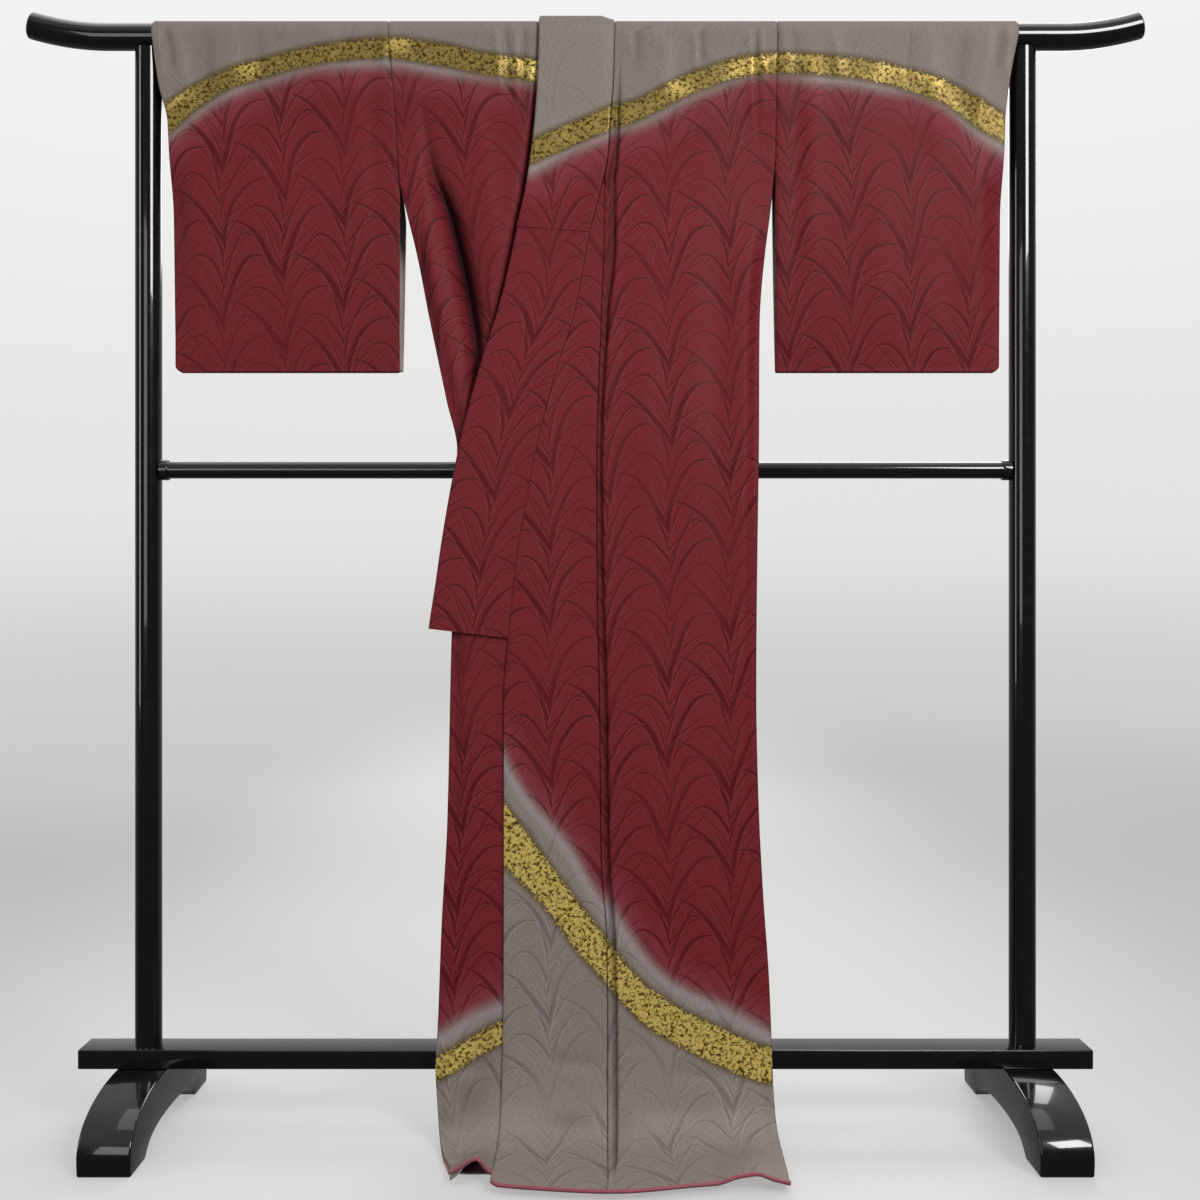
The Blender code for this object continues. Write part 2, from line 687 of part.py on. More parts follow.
def sleeve(name, stand, colour, left):
    """A sleeve: a loop of cloth over the bar, closed at the bottom, with its cuff open at the top."""
    cuff = LEFT_CUFF if left else RIGHT_CUFF
    seam = LEFT_SIDE if left else RIGHT_SIDE
    seam_end = LEFT_UNDERARM_RUN if left else RIGHT_UNDERARM_RUN
    free = LEFT_SLEEVE_EDGE if left else RIGHT_SLEEVE_EDGE
    outward = 1 if left else -1
    spread = np.array(SLEEVE_SPREAD)

    def places(run):
        low = read(seam if run <= seam_end else free, "across", run) + outward * SEAM / 2
        turned = ease(run, SLEEVE_CORNER_RUN, SLEEVE_BOTTOM_RUN)
        corner = SLEEVE_CORNER * (1 - np.sqrt(1 - turned ** 2))
        high = read(cuff, "across", run) - outward * corner
        return across_rows(low, high, spread), high

    def half_depth(across, edge, run):
        open_depth = read(SLEEVE_HANG, "half_depth", run)
        closing = ease(np.abs(across - edge), SLEEVE_EDGE_WIDTH, 0.0) * ease(run, SLEEVE_SEWN_FROM,
                                                                            SLEEVE_SEWN_RUN)
        return open_depth + (SEWN_HALF - open_depth) * closing

    def ring(offset):
        """The loop at an offset from the middle of the cloth: front, bottom, back and over the bar."""
        loop = []
        for run in SLEEVE_RUNS:
            across, edge = places(run)
            depth = half_depth(across, edge, run) + offset
            loop.append(np.stack([across, -depth, np.full_like(across, BAR_HEIGHT - run)], -1))
        across, edge = places(SLEEVE_BOTTOM_RUN)
        depth = half_depth(across, edge, SLEEVE_BOTTOM_RUN)
        lowest = BAR_HEIGHT - SLEEVE_BOTTOM_RUN
        for angle in np.linspace(0, math.pi, SLEEVE_BOTTOM_STEPS):
            reach = depth + offset
            loop.append(np.stack([across, -reach * math.cos(angle),
                                  lowest + depth - reach * math.sin(angle)], -1))
        for run in reversed(SLEEVE_RUNS):
            across, edge = places(run)
            depth = half_depth(across, edge, run) + offset
            loop.append(np.stack([across, depth, np.full_like(across, BAR_HEIGHT - run)], -1))
        across, edge = places(0.0)
        for angle in reversed(bar_angles()):
            radius = ON_BAR * BAR_SWELL + offset
            loop.append(np.stack([across, np.full_like(across, -radius * math.cos(angle)),
                                  np.full_like(across, BAR_HEIGHT + radius * math.sin(angle))], -1))
        return np.stack(loop)

    outer = ring(CLOTH / 2)
    inner = ring(-CLOTH / 2)
    rows, columns = outer.shape[:2]
    count = rows * columns

    def index(row, column, side):
        return side * count + (row % rows) * columns + column

    faces = []
    for row in range(rows):
        for column in range(columns - 1):
            for side in (0, 1):
                faces.append((index(row, column, side), index(row, column + 1, side),
                              index(row + 1, column + 1, side), index(row + 1, column, side)))
        for column in (0, columns - 1):
            faces.append((index(row, column, 0), index(row + 1, column, 0),
                          index(row + 1, column, 1), index(row, column, 1)))
    points = np.concatenate([outer.reshape(-1, 3), inner.reshape(-1, 3)])
    return add_object(name, points, faces, stand, colour, SILK_ROUGHNESS)


def round_bar(name, stand, path, radii, sides, colour, roughness):
    """A round bar with flat ends through a list of points, all in one plane that holds X."""
    path = np.array(path, float)
    along = np.gradient(path, axis=0)
    along /= np.linalg.norm(along, axis=1)[:, None]
    depth = np.array([0.0, 1.0, 0.0])
    points = []
    for place, direction, radius in zip(path, along, radii):
        up = np.cross(depth, direction)
        up /= np.linalg.norm(up)
        level = np.cross(direction, up)
        for k in range(sides):
            angle = 2 * math.pi * k / sides
            points.append(place + radius * (math.cos(angle) * up + math.sin(angle) * level))
    faces = []
    for row in range(len(path) - 1):
        for k in range(sides):
            after = (k + 1) % sides
            faces.append((row * sides + k, row * sides + after,
                          (row + 1) * sides + after, (row + 1) * sides + k))
    faces.append(tuple(range(sides)))
    faces.append(tuple((len(path) - 1) * sides + k for k in range(sides)))
    return add_object(name, points, faces, stand, colour, roughness)


def top_bar(stand):
    """The straight bar whose two ends curve up."""
    bend = np.linspace(0, 1, BAR_TIP_ROWS + 1)[1:]
    outwards = BAR_STRAIGHT + (BAR_HALF - BAR_STRAIGHT) * bend
    rises = BAR_RISE * bend ** 2
    tip = np.array([outwards[-1] - outwards[-2], rises[-1] - rises[-2]])
    tip /= np.linalg.norm(tip)
    half = [(BAR_MIDDLE, 0.0), (BAR_STRAIGHT, 0.0)] + list(zip(outwards, rises))
    edge = (half[-1][0] - tip[0] * BAR_EDGE, half[-1][1] - tip[1] * BAR_EDGE)
    half = half[:-1] + [edge, half[-1]]
    right = [(x, 0.0, BAR_HEIGHT + z) for x, z in half]
    left = [(-x, y, z) for x, y, z in reversed(right)]
    radii = [BAR_RADIUS] * (len(half) - 1) + [BAR_RADIUS - BAR_EDGE]
    return round_bar("top_bar", stand, left + right, radii[::-1] + radii, STAND_SIDES, LACQUER,
                     LACQUER_ROUGHNESS)


def saddle_bar(name, stand, start, end, radii, seat_radius, place, turn):
    """A round bar along its own Z whose ends may be hollowed to sit against another round bar.

    start and end are each a height and whether that end is hollowed; radii are rows of height and radius.
    """
    half = STAND_SIDES // 2
    angles = -math.pi / 2 + 2 * math.pi * np.arange(STAND_SIDES) / STAND_SIDES

    def end_height(base, hollow, away, radius, y):
        if not hollow:
            return base
        return base - away * math.sqrt((seat_radius + SEAM) ** 2 - y * y)

    rings = [(start[0], radii[0][1], start[1], -1)]
    rings += [(height, radius, False, 0) for height, radius in radii[1:-1]]
    rings += [(end[0], radii[-1][1], end[1], 1)]
    points = []
    for base, radius, hollow, away in rings:
        for angle in angles:
            x = radius * math.cos(angle)
            y = radius * math.sin(angle)
            points.append((x, y, end_height(base, hollow, away, radius, y)))
    faces = []
    for row in range(len(rings) - 1):
        for k in range(STAND_SIDES):
            after = (k + 1) % STAND_SIDES
            faces.append((row * STAND_SIDES + k, row * STAND_SIDES + after,
                          (row + 1) * STAND_SIDES + after, (row + 1) * STAND_SIDES + k))
    for row in (0, len(rings) - 1):
        first = row * STAND_SIDES
        for k in range(half):
            near = (first + k, first + k + 1)
            far = (first + (STAND_SIDES - k - 1) % STAND_SIDES, first + (STAND_SIDES - k) % STAND_SIDES)
            strip = [near[0], near[1], far[0], far[1]]
            faces.append(tuple(dict.fromkeys(strip)))
    piece = add_object(name, points, faces, stand, LACQUER, LACQUER_ROUGHNESS)
    piece.location = place
    piece.rotation_euler = turn
    return piece


def post(name, stand, across):
    foot = BEAM_TOP + SEAM
    return saddle_bar(name, stand, (foot, False), (BAR_HEIGHT, True),
                      [(foot, POST_RADIUS), (BAR_HEIGHT, POST_RADIUS)], BAR_RADIUS,
                      (across, 0.0, 0.0), (0.0, 0.0, 0.0))


def rail(stand):
    """The thin rail between the posts, with a short collar at each end."""
    collar = POST_ACROSS - POST_RADIUS - RAIL_COLLAR_LENGTH
    radii = [
        (-POST_ACROSS, RAIL_COLLAR_RADIUS),
        (-collar, RAIL_COLLAR_RADIUS),
        (-collar + RAIL_COLLAR_EDGE, RAIL_RADIUS),
        (collar - RAIL_COLLAR_EDGE, RAIL_RADIUS),
        (collar, RAIL_COLLAR_RADIUS),
        (POST_ACROSS, RAIL_COLLAR_RADIUS),
    ]
    return saddle_bar("rail", stand, (-POST_ACROSS, True), (POST_ACROSS, True), radii, POST_RADIUS,
                      (0.0, 0.0, RAIL_HEIGHT), (0.0, math.pi / 2, 0.0))


def beam(stand):
    """The flat beam across the two feet."""
    low = (-BEAM_HALF, -BEAM_DEPTH / 2, BEAM_BOTTOM + SEAM)
    high = (BEAM_HALF, BEAM_DEPTH / 2, BEAM_TOP)
    points = [(x, y, z) for x in (low[0], high[0]) for y in (low[1], high[1]) for z in (low[2], high[2])]
    faces = [(0, 1, 3, 2), (4, 6, 7, 5), (0, 4, 5, 1), (2, 3, 7, 6), (0, 2, 6, 4), (1, 5, 7, 3)]
    piece = add_object("beam", points, faces, stand, LACQUER, LACQUER_ROUGHNESS, smooth=False)
    add_bevel(piece, BEAM_EDGE, 2)
    return piece


def add_bevel(piece, width, segments):
    bevel = piece.modifiers.new("edges", "BEVEL")
    bevel.width = width
    bevel.segments = segments
    bevel.limit_method = "ANGLE"
    bevel.angle_limit = math.radians(BEVEL_ANGLE)


def foot(name, stand, across):
    """A foot with a hollowed sole, a blunt toe at each end and a domed top under the beam."""
    half = list(zip(FOOT_OUTLINE["forward"], FOOT_OUTLINE["height"]))
    outline = [(-forward, height) for forward, height in half]
    outline += [(forward, height) for forward, height in reversed(half[1:])]
    count = len(outline)
    points = []
    for side in (-FOOT_WIDTH / 2, FOOT_WIDTH / 2):
        points += [(across + side, y, z) for y, z in outline]
    faces = [tuple(range(count)), tuple(range(2 * count - 1, count - 1, -1))]
    for k in range(count):
        after = (k + 1) % count
        faces.append((k, after, count + after, count + k))
    return add_object(name, points, faces, stand, LACQUER, LACQUER_ROUGHNESS)


def hem_roll(name, stand, left):
    """The lining rolled out along the hem of one front and its overlap."""
    if left:
        places = np.linspace(read(LEFT_OKUMI_EDGE, "across", HEM_RUN) + HEM_ROLL_END,
                             read(LEFT_SIDE, "across", HEM_RUN) - HEM_ROLL_SIDE, LEFT_HEM_ROLL_ROWS)
    else:
        places = np.linspace(read(RIGHT_SIDE, "across", HEM_RUN) + HEM_ROLL_SIDE,
                             read(RIGHT_OKUMI_EDGE, "across", HEM_RUN) - HEM_ROLL_END, RIGHT_HEM_ROLL_ROWS)
    ahead = HEM_ROLL_RADIUS + HEM_ROLL_GAP
    lift = 2 * LAYER if left else 0.0
    centre = front_point(places, hem_run(places, HEM_RUN, left), lift)[0]
    centre[:, 1] -= ahead
    along = np.gradient(centre, axis=0)
    along /= np.linalg.norm(along, axis=1)[:, None]
    points = []
    for place, direction in zip(centre, along):
        up = np.cross(direction, (0.0, 1.0, 0.0))
        up /= np.linalg.norm(up)
        level = np.cross(direction, up)
        for k in range(HEM_ROLL_SIDES):
            angle = 2 * math.pi * k / HEM_ROLL_SIDES
            points.append(place + HEM_ROLL_RADIUS * (math.cos(angle) * up + math.sin(angle) * level))
    faces = [tuple(range(HEM_ROLL_SIDES)),
             tuple((len(centre) - 1) * HEM_ROLL_SIDES + k for k in range(HEM_ROLL_SIDES))]
    for row in range(len(centre) - 1):
        for k in range(HEM_ROLL_SIDES):
            after = (k + 1) % HEM_ROLL_SIDES
            faces.append((row * HEM_ROLL_SIDES + k, row * HEM_ROLL_SIDES + after,
                          (row + 1) * HEM_ROLL_SIDES + after, (row + 1) * HEM_ROLL_SIDES + k))
    return add_object(name, points, faces, stand, PINK_LINING, SILK_ROUGHNESS)


def main():
    for old in list(bpy.data.objects):
        bpy.data.objects.remove(old, do_unlink=True)
    stand = bpy.data.objects.new("stand_middle", None)
    stand.location = (0.0, STAND_BACK, 0.0)
    bpy.context.scene.collection.objects.link(stand)

    top_bar(stand)
    rail(stand)
    beam(stand)
    for name, sign in (("right", -1), ("left", 1)):
        post("post_" + name, stand, sign * POST_ACROSS)
        foot("foot_" + name, stand, sign * FOOT_ACROSS)

    body_panel("body_right", stand, RED_SILK, left=False)
    body_panel("body_left", stand, RED_SILK, left=True)
    okumi_panel("okumi_right", stand, DARK_RED_SILK, left=False)
    okumi_panel("okumi_left", stand, PALE_RED_SILK, left=True)
    collar_strip("collar_right", stand, DARK_RED_SILK, left=False, over=False)
    collar_strip("over_collar_right", stand, RED_SILK, left=False, over=True)
    collar_strip("collar_left", stand, PALE_RED_SILK, left=True, over=False)
    collar_strip("over_collar_left", stand, RED_SILK, left=True, over=True)
    sleeve("sleeve_right", stand, RED_SILK, left=False)
    sleeve("sleeve_left", stand, RED_SILK, left=True)
    hem_roll("hem_roll_right", stand, left=False)
    hem_roll("hem_roll_left", stand, left=True)


main()
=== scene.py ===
"""Look of the kimono and its stand.

Every cloth panel is a thin shell on the form of its solid, built again with a fine grid, its small creases
and cloth coordinates in metres for the dye and the woven grass. Left and right are the wearer's.
"""
import math

import bmesh
import bpy
import numpy as np
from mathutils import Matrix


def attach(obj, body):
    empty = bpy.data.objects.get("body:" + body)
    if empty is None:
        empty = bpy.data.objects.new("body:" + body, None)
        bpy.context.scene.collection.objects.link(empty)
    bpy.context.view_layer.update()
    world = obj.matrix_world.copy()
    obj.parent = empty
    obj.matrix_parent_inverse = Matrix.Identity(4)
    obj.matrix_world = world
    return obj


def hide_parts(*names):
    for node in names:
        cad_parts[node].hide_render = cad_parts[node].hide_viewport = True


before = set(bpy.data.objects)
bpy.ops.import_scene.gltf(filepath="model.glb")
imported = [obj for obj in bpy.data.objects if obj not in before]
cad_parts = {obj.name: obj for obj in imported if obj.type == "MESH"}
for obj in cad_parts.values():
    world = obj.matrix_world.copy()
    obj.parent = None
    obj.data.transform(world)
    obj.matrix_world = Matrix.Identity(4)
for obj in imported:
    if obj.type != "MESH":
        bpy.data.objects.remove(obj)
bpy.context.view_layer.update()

# The stand
STAND_BACK = 0.0365         # the posts stand this far behind the origin
BAR_HEIGHT = 1.5767
BAR_RADIUS = 0.019
BAR_HALF = 0.803
BAR_STRAIGHT = 0.690        # the bar is straight out to here and curves up beyond
BAR_RISE = 0.017
BAR_EDGE = 0.0025           # rounding of the bar's ends
POST_ACROSS = 0.633
POST_RADIUS = 0.019
RAIL_HEIGHT = 0.949
RAIL_RADIUS = 0.012
RAIL_COLLAR_RADIUS = 0.0145
RAIL_COLLAR_LENGTH = 0.010
RAIL_COLLAR_EDGE = 0.0012
BEAM_HALF = 0.726
BEAM_DEPTH = 0.0574
BEAM_BOTTOM = 0.0897
BEAM_TOP = 0.1173
BEAM_EDGE = 0.0015
FOOT_ACROSS = 0.635
FOOT_WIDTH = 0.072

# The cloth
CLOTH = 0.002               # wall of the lined silk
SEAM = 0.0003               # space between two pieces that are sewn together
LAYER = CLOTH + 0.0004      # from one layer of cloth to the next one on top
ON_BAR = BAR_RADIUS + SEAM + CLOTH / 2

# Places along the run
LEFT_UNDERARM_RUN = 0.18    # where the left sleeve's seam ends
KENSAKI_RUN = 0.22          # the tip of the front overlap, where it starts beside the collar
RIGHT_UNDERARM_RUN = KENSAKI_RUN
OVER_COLLAR_RUN = 0.29      # where the over-collar ends
COLLAR_RUN = 0.87           # where the collar ends
HEM_RUN = 1.725
NECK_RUN = 0.030            # depth of the neck cut in the back panels
COLLAR_BACK_RUN = 0.050     # how far the collar hangs down behind the bar
CENTRE_BACK = -0.0130
COLLAR_SLOPE_FROM = 0.021   # over the bar the collar slopes down to its seam between these two places
COLLAR_SLOPE_TO = 0.040
FRONT_RUNS = (0, 0.03, 0.075, 0.13, LEFT_UNDERARM_RUN, KENSAKI_RUN, OVER_COLLAR_RUN, 0.35, 0.42, 0.50, 0.60,
              0.70, 0.79, COLLAR_RUN, 0.98, 1.10, 1.22, 1.34, 1.427, 1.487, 1.512, 1.534, 1.553, 1.571, 1.60,
              1.64, 1.68, HEM_RUN)
BACK_RUNS = (0, NECK_RUN, 0.034, 0.075, 0.13, LEFT_UNDERARM_RUN, KENSAKI_RUN, 0.30, 0.38, 0.46, 0.58, 0.70,
             0.84, 0.98, 1.14, 1.30, 1.427, 1.487, 1.512, 1.534, 1.553, 1.571, 1.60, 1.64, 1.68)
BAR_STEPS = 7               # rows of cloth over the bar between its front and its back
BAR_SWELL = 1 / math.cos(math.pi / (2 * (BAR_STEPS + 1)))   # keeps the flats between those rows off the bar
CROSS_RUN = 0.13            # below this run the left front lies fully over the right one
SHOULDER_FROM = 0.17        # outside these two the left front lies on the bar, down to the runs below
SHOULDER_TO = 0.26
SHOULDER_DROP_RUN = 0.20
SHOULDER_END_RUN = 0.34
SIDE_SEAM_WIDTH = 0.022     # strip in which a front and its back come together at their sewn side
SIDE_SEAM_FROM_RUN = 0.24
SIDE_SEAM_RUN = 0.37
NORMAL_REACH = 0.002        # half of the length over which the cloth's slope is taken
OVER_COLLAR_INSET = 0.0006
COLLAR_END_SLANT = 0.013    # how much the lower end of the collar runs up to one side
OVER_COLLAR_END_SLANT = 0.0078
COLLAR_END_REACH = 0.09
COLLAR_BEHIND_TURN = 0.95 * math.pi   # turned this far round the bar, the left collar is flat again


def table(columns, *rows):
    """A short table, held as one array for each named column."""
    return {name: np.array(values, float) for name, values in zip(columns.split(), zip(*rows))}


# Side view of the right front, from the bar to the hem. The cloth comes forward on to the floor.
FRONT_HANG = table(
    "height forward",
    (BAR_HEIGHT, ON_BAR), (1.45, 0.0208), (1.36, 0.0225), (1.2, 0.03), (0.95, 0.0435), (0.6, 0.0485),
    (0.3, 0.0525), (0.15, 0.0565), (0.09, 0.061), (0.045, 0.072), (0.018, 0.098), (0.008, 0.14),
    (0.0065, 0.19), (0.0063, 0.3),
)
# Side view of the back panels, which pass in front of the stand's rail and beam
BACK_HANG = table(
    "height forward",
    (BAR_HEIGHT, -ON_BAR), (1.36, -0.018), (1.2, -0.004), (1.08, 0.01), (0.97, 0.025), (0.6, 0.032),
    (0.3, 0.037), (0.12, 0.0415), (0.075, 0.046), (0.035, 0.06), (0.01, 0.09), (0.0035, 0.13),
    (0.0025, 0.18), (0.0024, 0.3),
)
# Where each edge lies across, by its run
RIGHT_SIDE = table(
    "run across",
    (0, -0.2835), (0.099, -0.2747), (RIGHT_UNDERARM_RUN, -0.266), (0.26, -0.2565), (0.314, -0.2438),
    (0.388, -0.2292), (0.531, -0.1986), (0.602, -0.183), (0.731, -0.1853), (0.861, -0.19), (1.137, -0.196),
    (1.272, -0.2035), (1.43, -0.2094), (1.475, -0.212), (1.536, -0.2076), (1.62, -0.1942), (1.684, -0.18),
    (1.76, -0.174),
)
LEFT_SIDE = table(
    "run across",
    (0, 0.2757), (LEFT_UNDERARM_RUN, 0.2722), (0.246, 0.2664), (0.316, 0.2582), (0.419, 0.2499),
    (0.532, 0.2479), (0.958, 0.2425), (1.093, 0.245), (1.227, 0.2511), (1.361, 0.2598), (1.494, 0.2645),
    (1.535, 0.2659), (1.607, 0.2681), (1.76, 0.263),
)
LEFT_COLLAR = table(
    "run free seam",
    (0, -0.067, 0.0422), (0.075, -0.0694, 0.0398), (0.12, -0.0725, 0.0365), (0.182, -0.0794, 0.032),
    (0.236, -0.0879, 0.0205), (0.29, -0.0992, 0.0064), (0.368, -0.116, -0.0078), (0.417, -0.129, -0.0178),
    (0.464, -0.1444, -0.0334), (0.59, -0.1775, -0.0674), (0.682, -0.1955, -0.085),
    (0.765, -0.2085, -0.0984), (0.87, -0.222, -0.1089),
)
RIGHT_COLLAR = table(
    "run seam free",
    (0, -0.068, 0.0115), (0.13, -0.064, 0.012), (0.22, -0.05, 0.045), (0.29, -0.032, 0.07),
    (0.42, 0.005, 0.108), (0.6, 0.06, 0.16), (0.75, 0.092, 0.192), (0.87, 0.11, 0.212),
)
LEFT_OKUMI_EDGE = table(
    "run across",
    (0.87, -0.1089), (0.958, -0.1152), (1.379, -0.1155), (1.49, -0.1172), (1.575, -0.119), (1.76, -0.1225),
)
RIGHT_OKUMI_EDGE = table("run across", (0.870, 0.1100), (1.100, 0.1220), (1.760, 0.1350))
LEFT_OKUMI_SEAM = table(
    "run across",
    (0, 0.0425), (0.217, 0.0272), (0.31, 0.0262), (0.417, 0.0225), (0.62, 0.0165), (0.8, 0.017),
    (0.958, 0.02), (1.18, 0.0225), (1.294, 0.03), (1.41, 0.0315), (1.54, 0.031), (1.76, 0.028),
)
RIGHT_OKUMI_SEAM = table(
    "run across",
    (0, -0.068), (0.13, -0.065), (0.22, -0.0535), (0.42, -0.025), (0.87, 0), (1.76, 0.005),
)
# The narrow tuck pressed into the left front beside its overlap's seam, by its width
TUCK = table(
    "run width",
    (0, 0.003), (0.13, 0.01), (0.31, 0.014), (0.417, 0.0074), (0.6, 0.004), (0.958, 0.0075), (1.294, 0.009),
    (1.54, 0.011), (1.76, 0.003),
)
TUCK_HEIGHT = 0.0025
TUCK_STEP = 0.002           # how far its height is spread at its edge
TUCK_FOOT = 0.014           # flat strip kept beside it
TUCK_FROM_RUN = 0.02
TUCK_FADE_RUN = 1.60
TUCK_END_RUN = 1.70
# The deep trough in the right front, from the sleeve's seam down behind the collar
TROUGH = table(
    "run across depth half_width",
    (0.1, -0.235, 0, 0.026), (0.19, -0.2214, 0.006, 0.022), (0.25, -0.1983, 0.011, 0.022),
    (0.323, -0.1794, 0.014, 0.022), (0.396, -0.1649, 0.014, 0.022), (0.46, -0.1562, 0.011, 0.02),
    (0.6, -0.16, 0.004, 0.018), (0.72, -0.17, 0, 0.018),
)
# How far the left hem stops short of its run or passes it
LEFT_HEM = table(
    "across extra",
    (-0.1225, -0.009), (-0.084, 0), (0.034, 0.014), (0.165, -0.01), (0.222, -0.016), (0.245, -0.012),
    (0.265, -0.012),
)
RIGHT_HEM_EXTRA = -0.041
HEM_STRETCH_RUN = 1.56      # from here down the cloth is stretched to that outline
# How high the waves of the hem stand off the floor
HEM_WAVES = table(
    "across lift",
    (-0.19, 0), (-0.165, 0.013), (-0.142, 0.025), (-0.13, 0.013), (-0.112, 0), (0.165, 0), (0.2, 0.008),
    (0.222, 0.01), (0.245, 0.004), (0.265, 0),
)
WAVES_FROM_RUN = 1.59
WAVES_FULL_RUN = 1.68
HEM_ROLL_END = 0.001        # the roll stops this far inside the front edge
LEFT_HEM_ROLL_ROWS = 30
RIGHT_HEM_ROLL_ROWS = 24
# Folds of the back panels and the runs where they start, are full, begin to fade and are gone
BACK_FOLD_DEPTH = 0.007
BACK_FOLD_SPACING = 0.078
BACK_FOLD_RUNS = (0.06, 0.50, 1.42, 1.52)
# The sleeves, by the run of their front
RIGHT_CUFF = table(
    "run across",
    (0, -0.6235), (0.075, -0.613), (0.13, -0.6), (0.22, -0.5972), (0.44, -0.594),
)
LEFT_CUFF = table(
    "run across",
    (0, 0.6225), (0.075, 0.6085), (0.13, 0.6025), (0.22, 0.601), (0.44, 0.5992),
)
RIGHT_SLEEVE_EDGE = table("run across", (RIGHT_UNDERARM_RUN, -0.2660), (0.486, -0.2690))
LEFT_SLEEVE_EDGE = table("run across", (LEFT_UNDERARM_RUN, 0.2722), (0.328, 0.2733), (0.486, 0.2747))
SLEEVE_HANG = table(
    "run half_depth",
    (0, ON_BAR), (0.13, ON_BAR), (0.22, 0.0196), (0.35, 0.014), (0.44, 0.0075), (0.48, 0.0032),
)
SLEEVE_RUNS = (0, 0.03, 0.075, 0.13, LEFT_UNDERARM_RUN, KENSAKI_RUN, 0.29, 0.35, 0.40, 0.44, 0.462)
SLEEVE_BOTTOM_RUN = 0.486
SLEEVE_SEWN_FROM = 0.16     # below this run the outer edge starts to close
SLEEVE_SEWN_RUN = 0.26      # below this run it is sewn shut
SLEEVE_EDGE_WIDTH = 0.040
SLEEVE_CORNER = 0.008
SLEEVE_CORNER_RUN = 0.474
SEWN_HALF = CLOTH / 2 + SEAM / 2


def smooth_at(keys, values, at):
    """A smooth curve through the rows of a table that never overshoots them."""
    at = np.clip(np.asarray(at, float), keys[0], keys[-1])
    step = np.diff(keys)
    slope = np.diff(values) / step
    tangent = np.zeros(len(keys))
    tangent[0] = slope[0]
    tangent[-1] = slope[-1]
    for i in range(1, len(keys) - 1):
        if slope[i - 1] * slope[i] > 0:
            before = 2 * step[i] + step[i - 1]
            after = step[i] + 2 * step[i - 1]
            tangent[i] = (before + after) / (before / slope[i - 1] + after / slope[i])
    i = np.clip(np.searchsorted(keys, at, side="right") - 1, 0, len(keys) - 2)
    t = (at - keys[i]) / step[i]
    start = (1 + 2 * t) * (1 - t) ** 2 * values[i] + t * (1 - t) ** 2 * step[i] * tangent[i]
    end = t * t * (3 - 2 * t) * values[i + 1] + t * t * (t - 1) * step[i] * tangent[i + 1]
    return start + end


def read(rows, column, at, key="run"):
    """One column of a table at a place along its first column."""
    return smooth_at(rows[key], rows[column], at)


def ease(at, start, end):
    """From 0 at start to 1 at end, with no corner."""
    t = np.clip((at - start) / (end - start), 0.0, 1.0)
    return t * t * (3 - 2 * t)


def add_run(hang):
    """Give a side view its own column of cloth lengths."""
    lengths = np.hypot(np.diff(hang["height"]), np.diff(hang["forward"]))
    hang["run"] = np.concatenate([[0.0], np.cumsum(lengths)])


add_run(FRONT_HANG)
add_run(BACK_HANG)


def side_view(hang, run):
    """Forward place, height and outward normal of a hanging layer at each run."""
    forward = read(hang, "forward", run)
    height = read(hang, "height", run)
    along_forward = read(hang, "forward", run + NORMAL_REACH) - read(hang, "forward", run - NORMAL_REACH)
    along_height = read(hang, "height", run + NORMAL_REACH) - read(hang, "height", run - NORMAL_REACH)
    length = np.hypot(along_forward, along_height)
    return forward, height, -along_height / length, along_forward / length


def hung(hang, across, run, rise):
    """Centre and normal of a hanging layer that stands off its side view by a rise."""
    forward, height, out_forward, out_height = side_view(hang, run)
    centre = np.stack([across, -(forward + out_forward * rise), height + out_height * rise], -1)
    normal = np.stack([np.zeros_like(across), -out_forward, out_height], -1)
    return centre, normal


def trough_depth(across, run):
    """How far the right front sinks at its deep trough."""
    middle = read(TROUGH, "across", run)
    width = read(TROUGH, "half_width", run)
    depth = read(TROUGH, "depth", run)
    return depth * np.exp(-((across - middle) / width) ** 2)


def floor_lift(across, run):
    """How far the waves of the hem lift the front layers off the floor."""
    return read(HEM_WAVES, "lift", across, "across") * ease(run, WAVES_FROM_RUN, WAVES_FULL_RUN)


def hem_run(across, run, left):
    """The run, stretched near the hem so that the hem takes its outline."""
    extra = read(LEFT_HEM, "extra", across, "across") if left else RIGHT_HEM_EXTRA
    return run + extra * ease(run, HEM_STRETCH_RUN, HEM_RUN)


def front_point(across, run, lift):
    """Centre of a front layer, lifted off the right front's own layer."""
    run = np.broadcast_to(run, across.shape)
    return hung(FRONT_HANG, across, run, lift + floor_lift(across, run))


def back_point(across, run):
    """Centre of the back panels, in soft folds that fade out at the bar and on the floor."""
    run = np.broadcast_to(run, across.shape)
    start, full, fade, gone = BACK_FOLD_RUNS
    depth = BACK_FOLD_DEPTH * ease(run, start, full) * (1 - ease(run, fade, gone))
    wave = -depth * np.cos(2 * math.pi * (across - CENTRE_BACK) / BACK_FOLD_SPACING)
    return hung(BACK_HANG, across, run, wave)


def bar_point(across, angle, lift):
    """Centre of a layer that lies over the bar, from its front at angle 0 to its back at pi."""
    radius = ON_BAR * BAR_SWELL + lift
    centre = np.stack([across, -radius * math.cos(angle), BAR_HEIGHT + radius * math.sin(angle)], -1)
    normal = np.stack([np.zeros_like(across), np.full_like(across, -math.cos(angle)),
                       np.full_like(across, math.sin(angle))], -1)
    return centre, normal


def left_lift(across, run):
    """The left front lies on the bar at the shoulder and over the right front and its collar below."""
    above = 1 - ease(run, SHOULDER_DROP_RUN, SHOULDER_END_RUN)
    at_shoulder = ease(across, SHOULDER_FROM, SHOULDER_TO) * above
    return 2 * LAYER * ease(run, 0.0, CROSS_RUN) * (1 - at_shoulder)


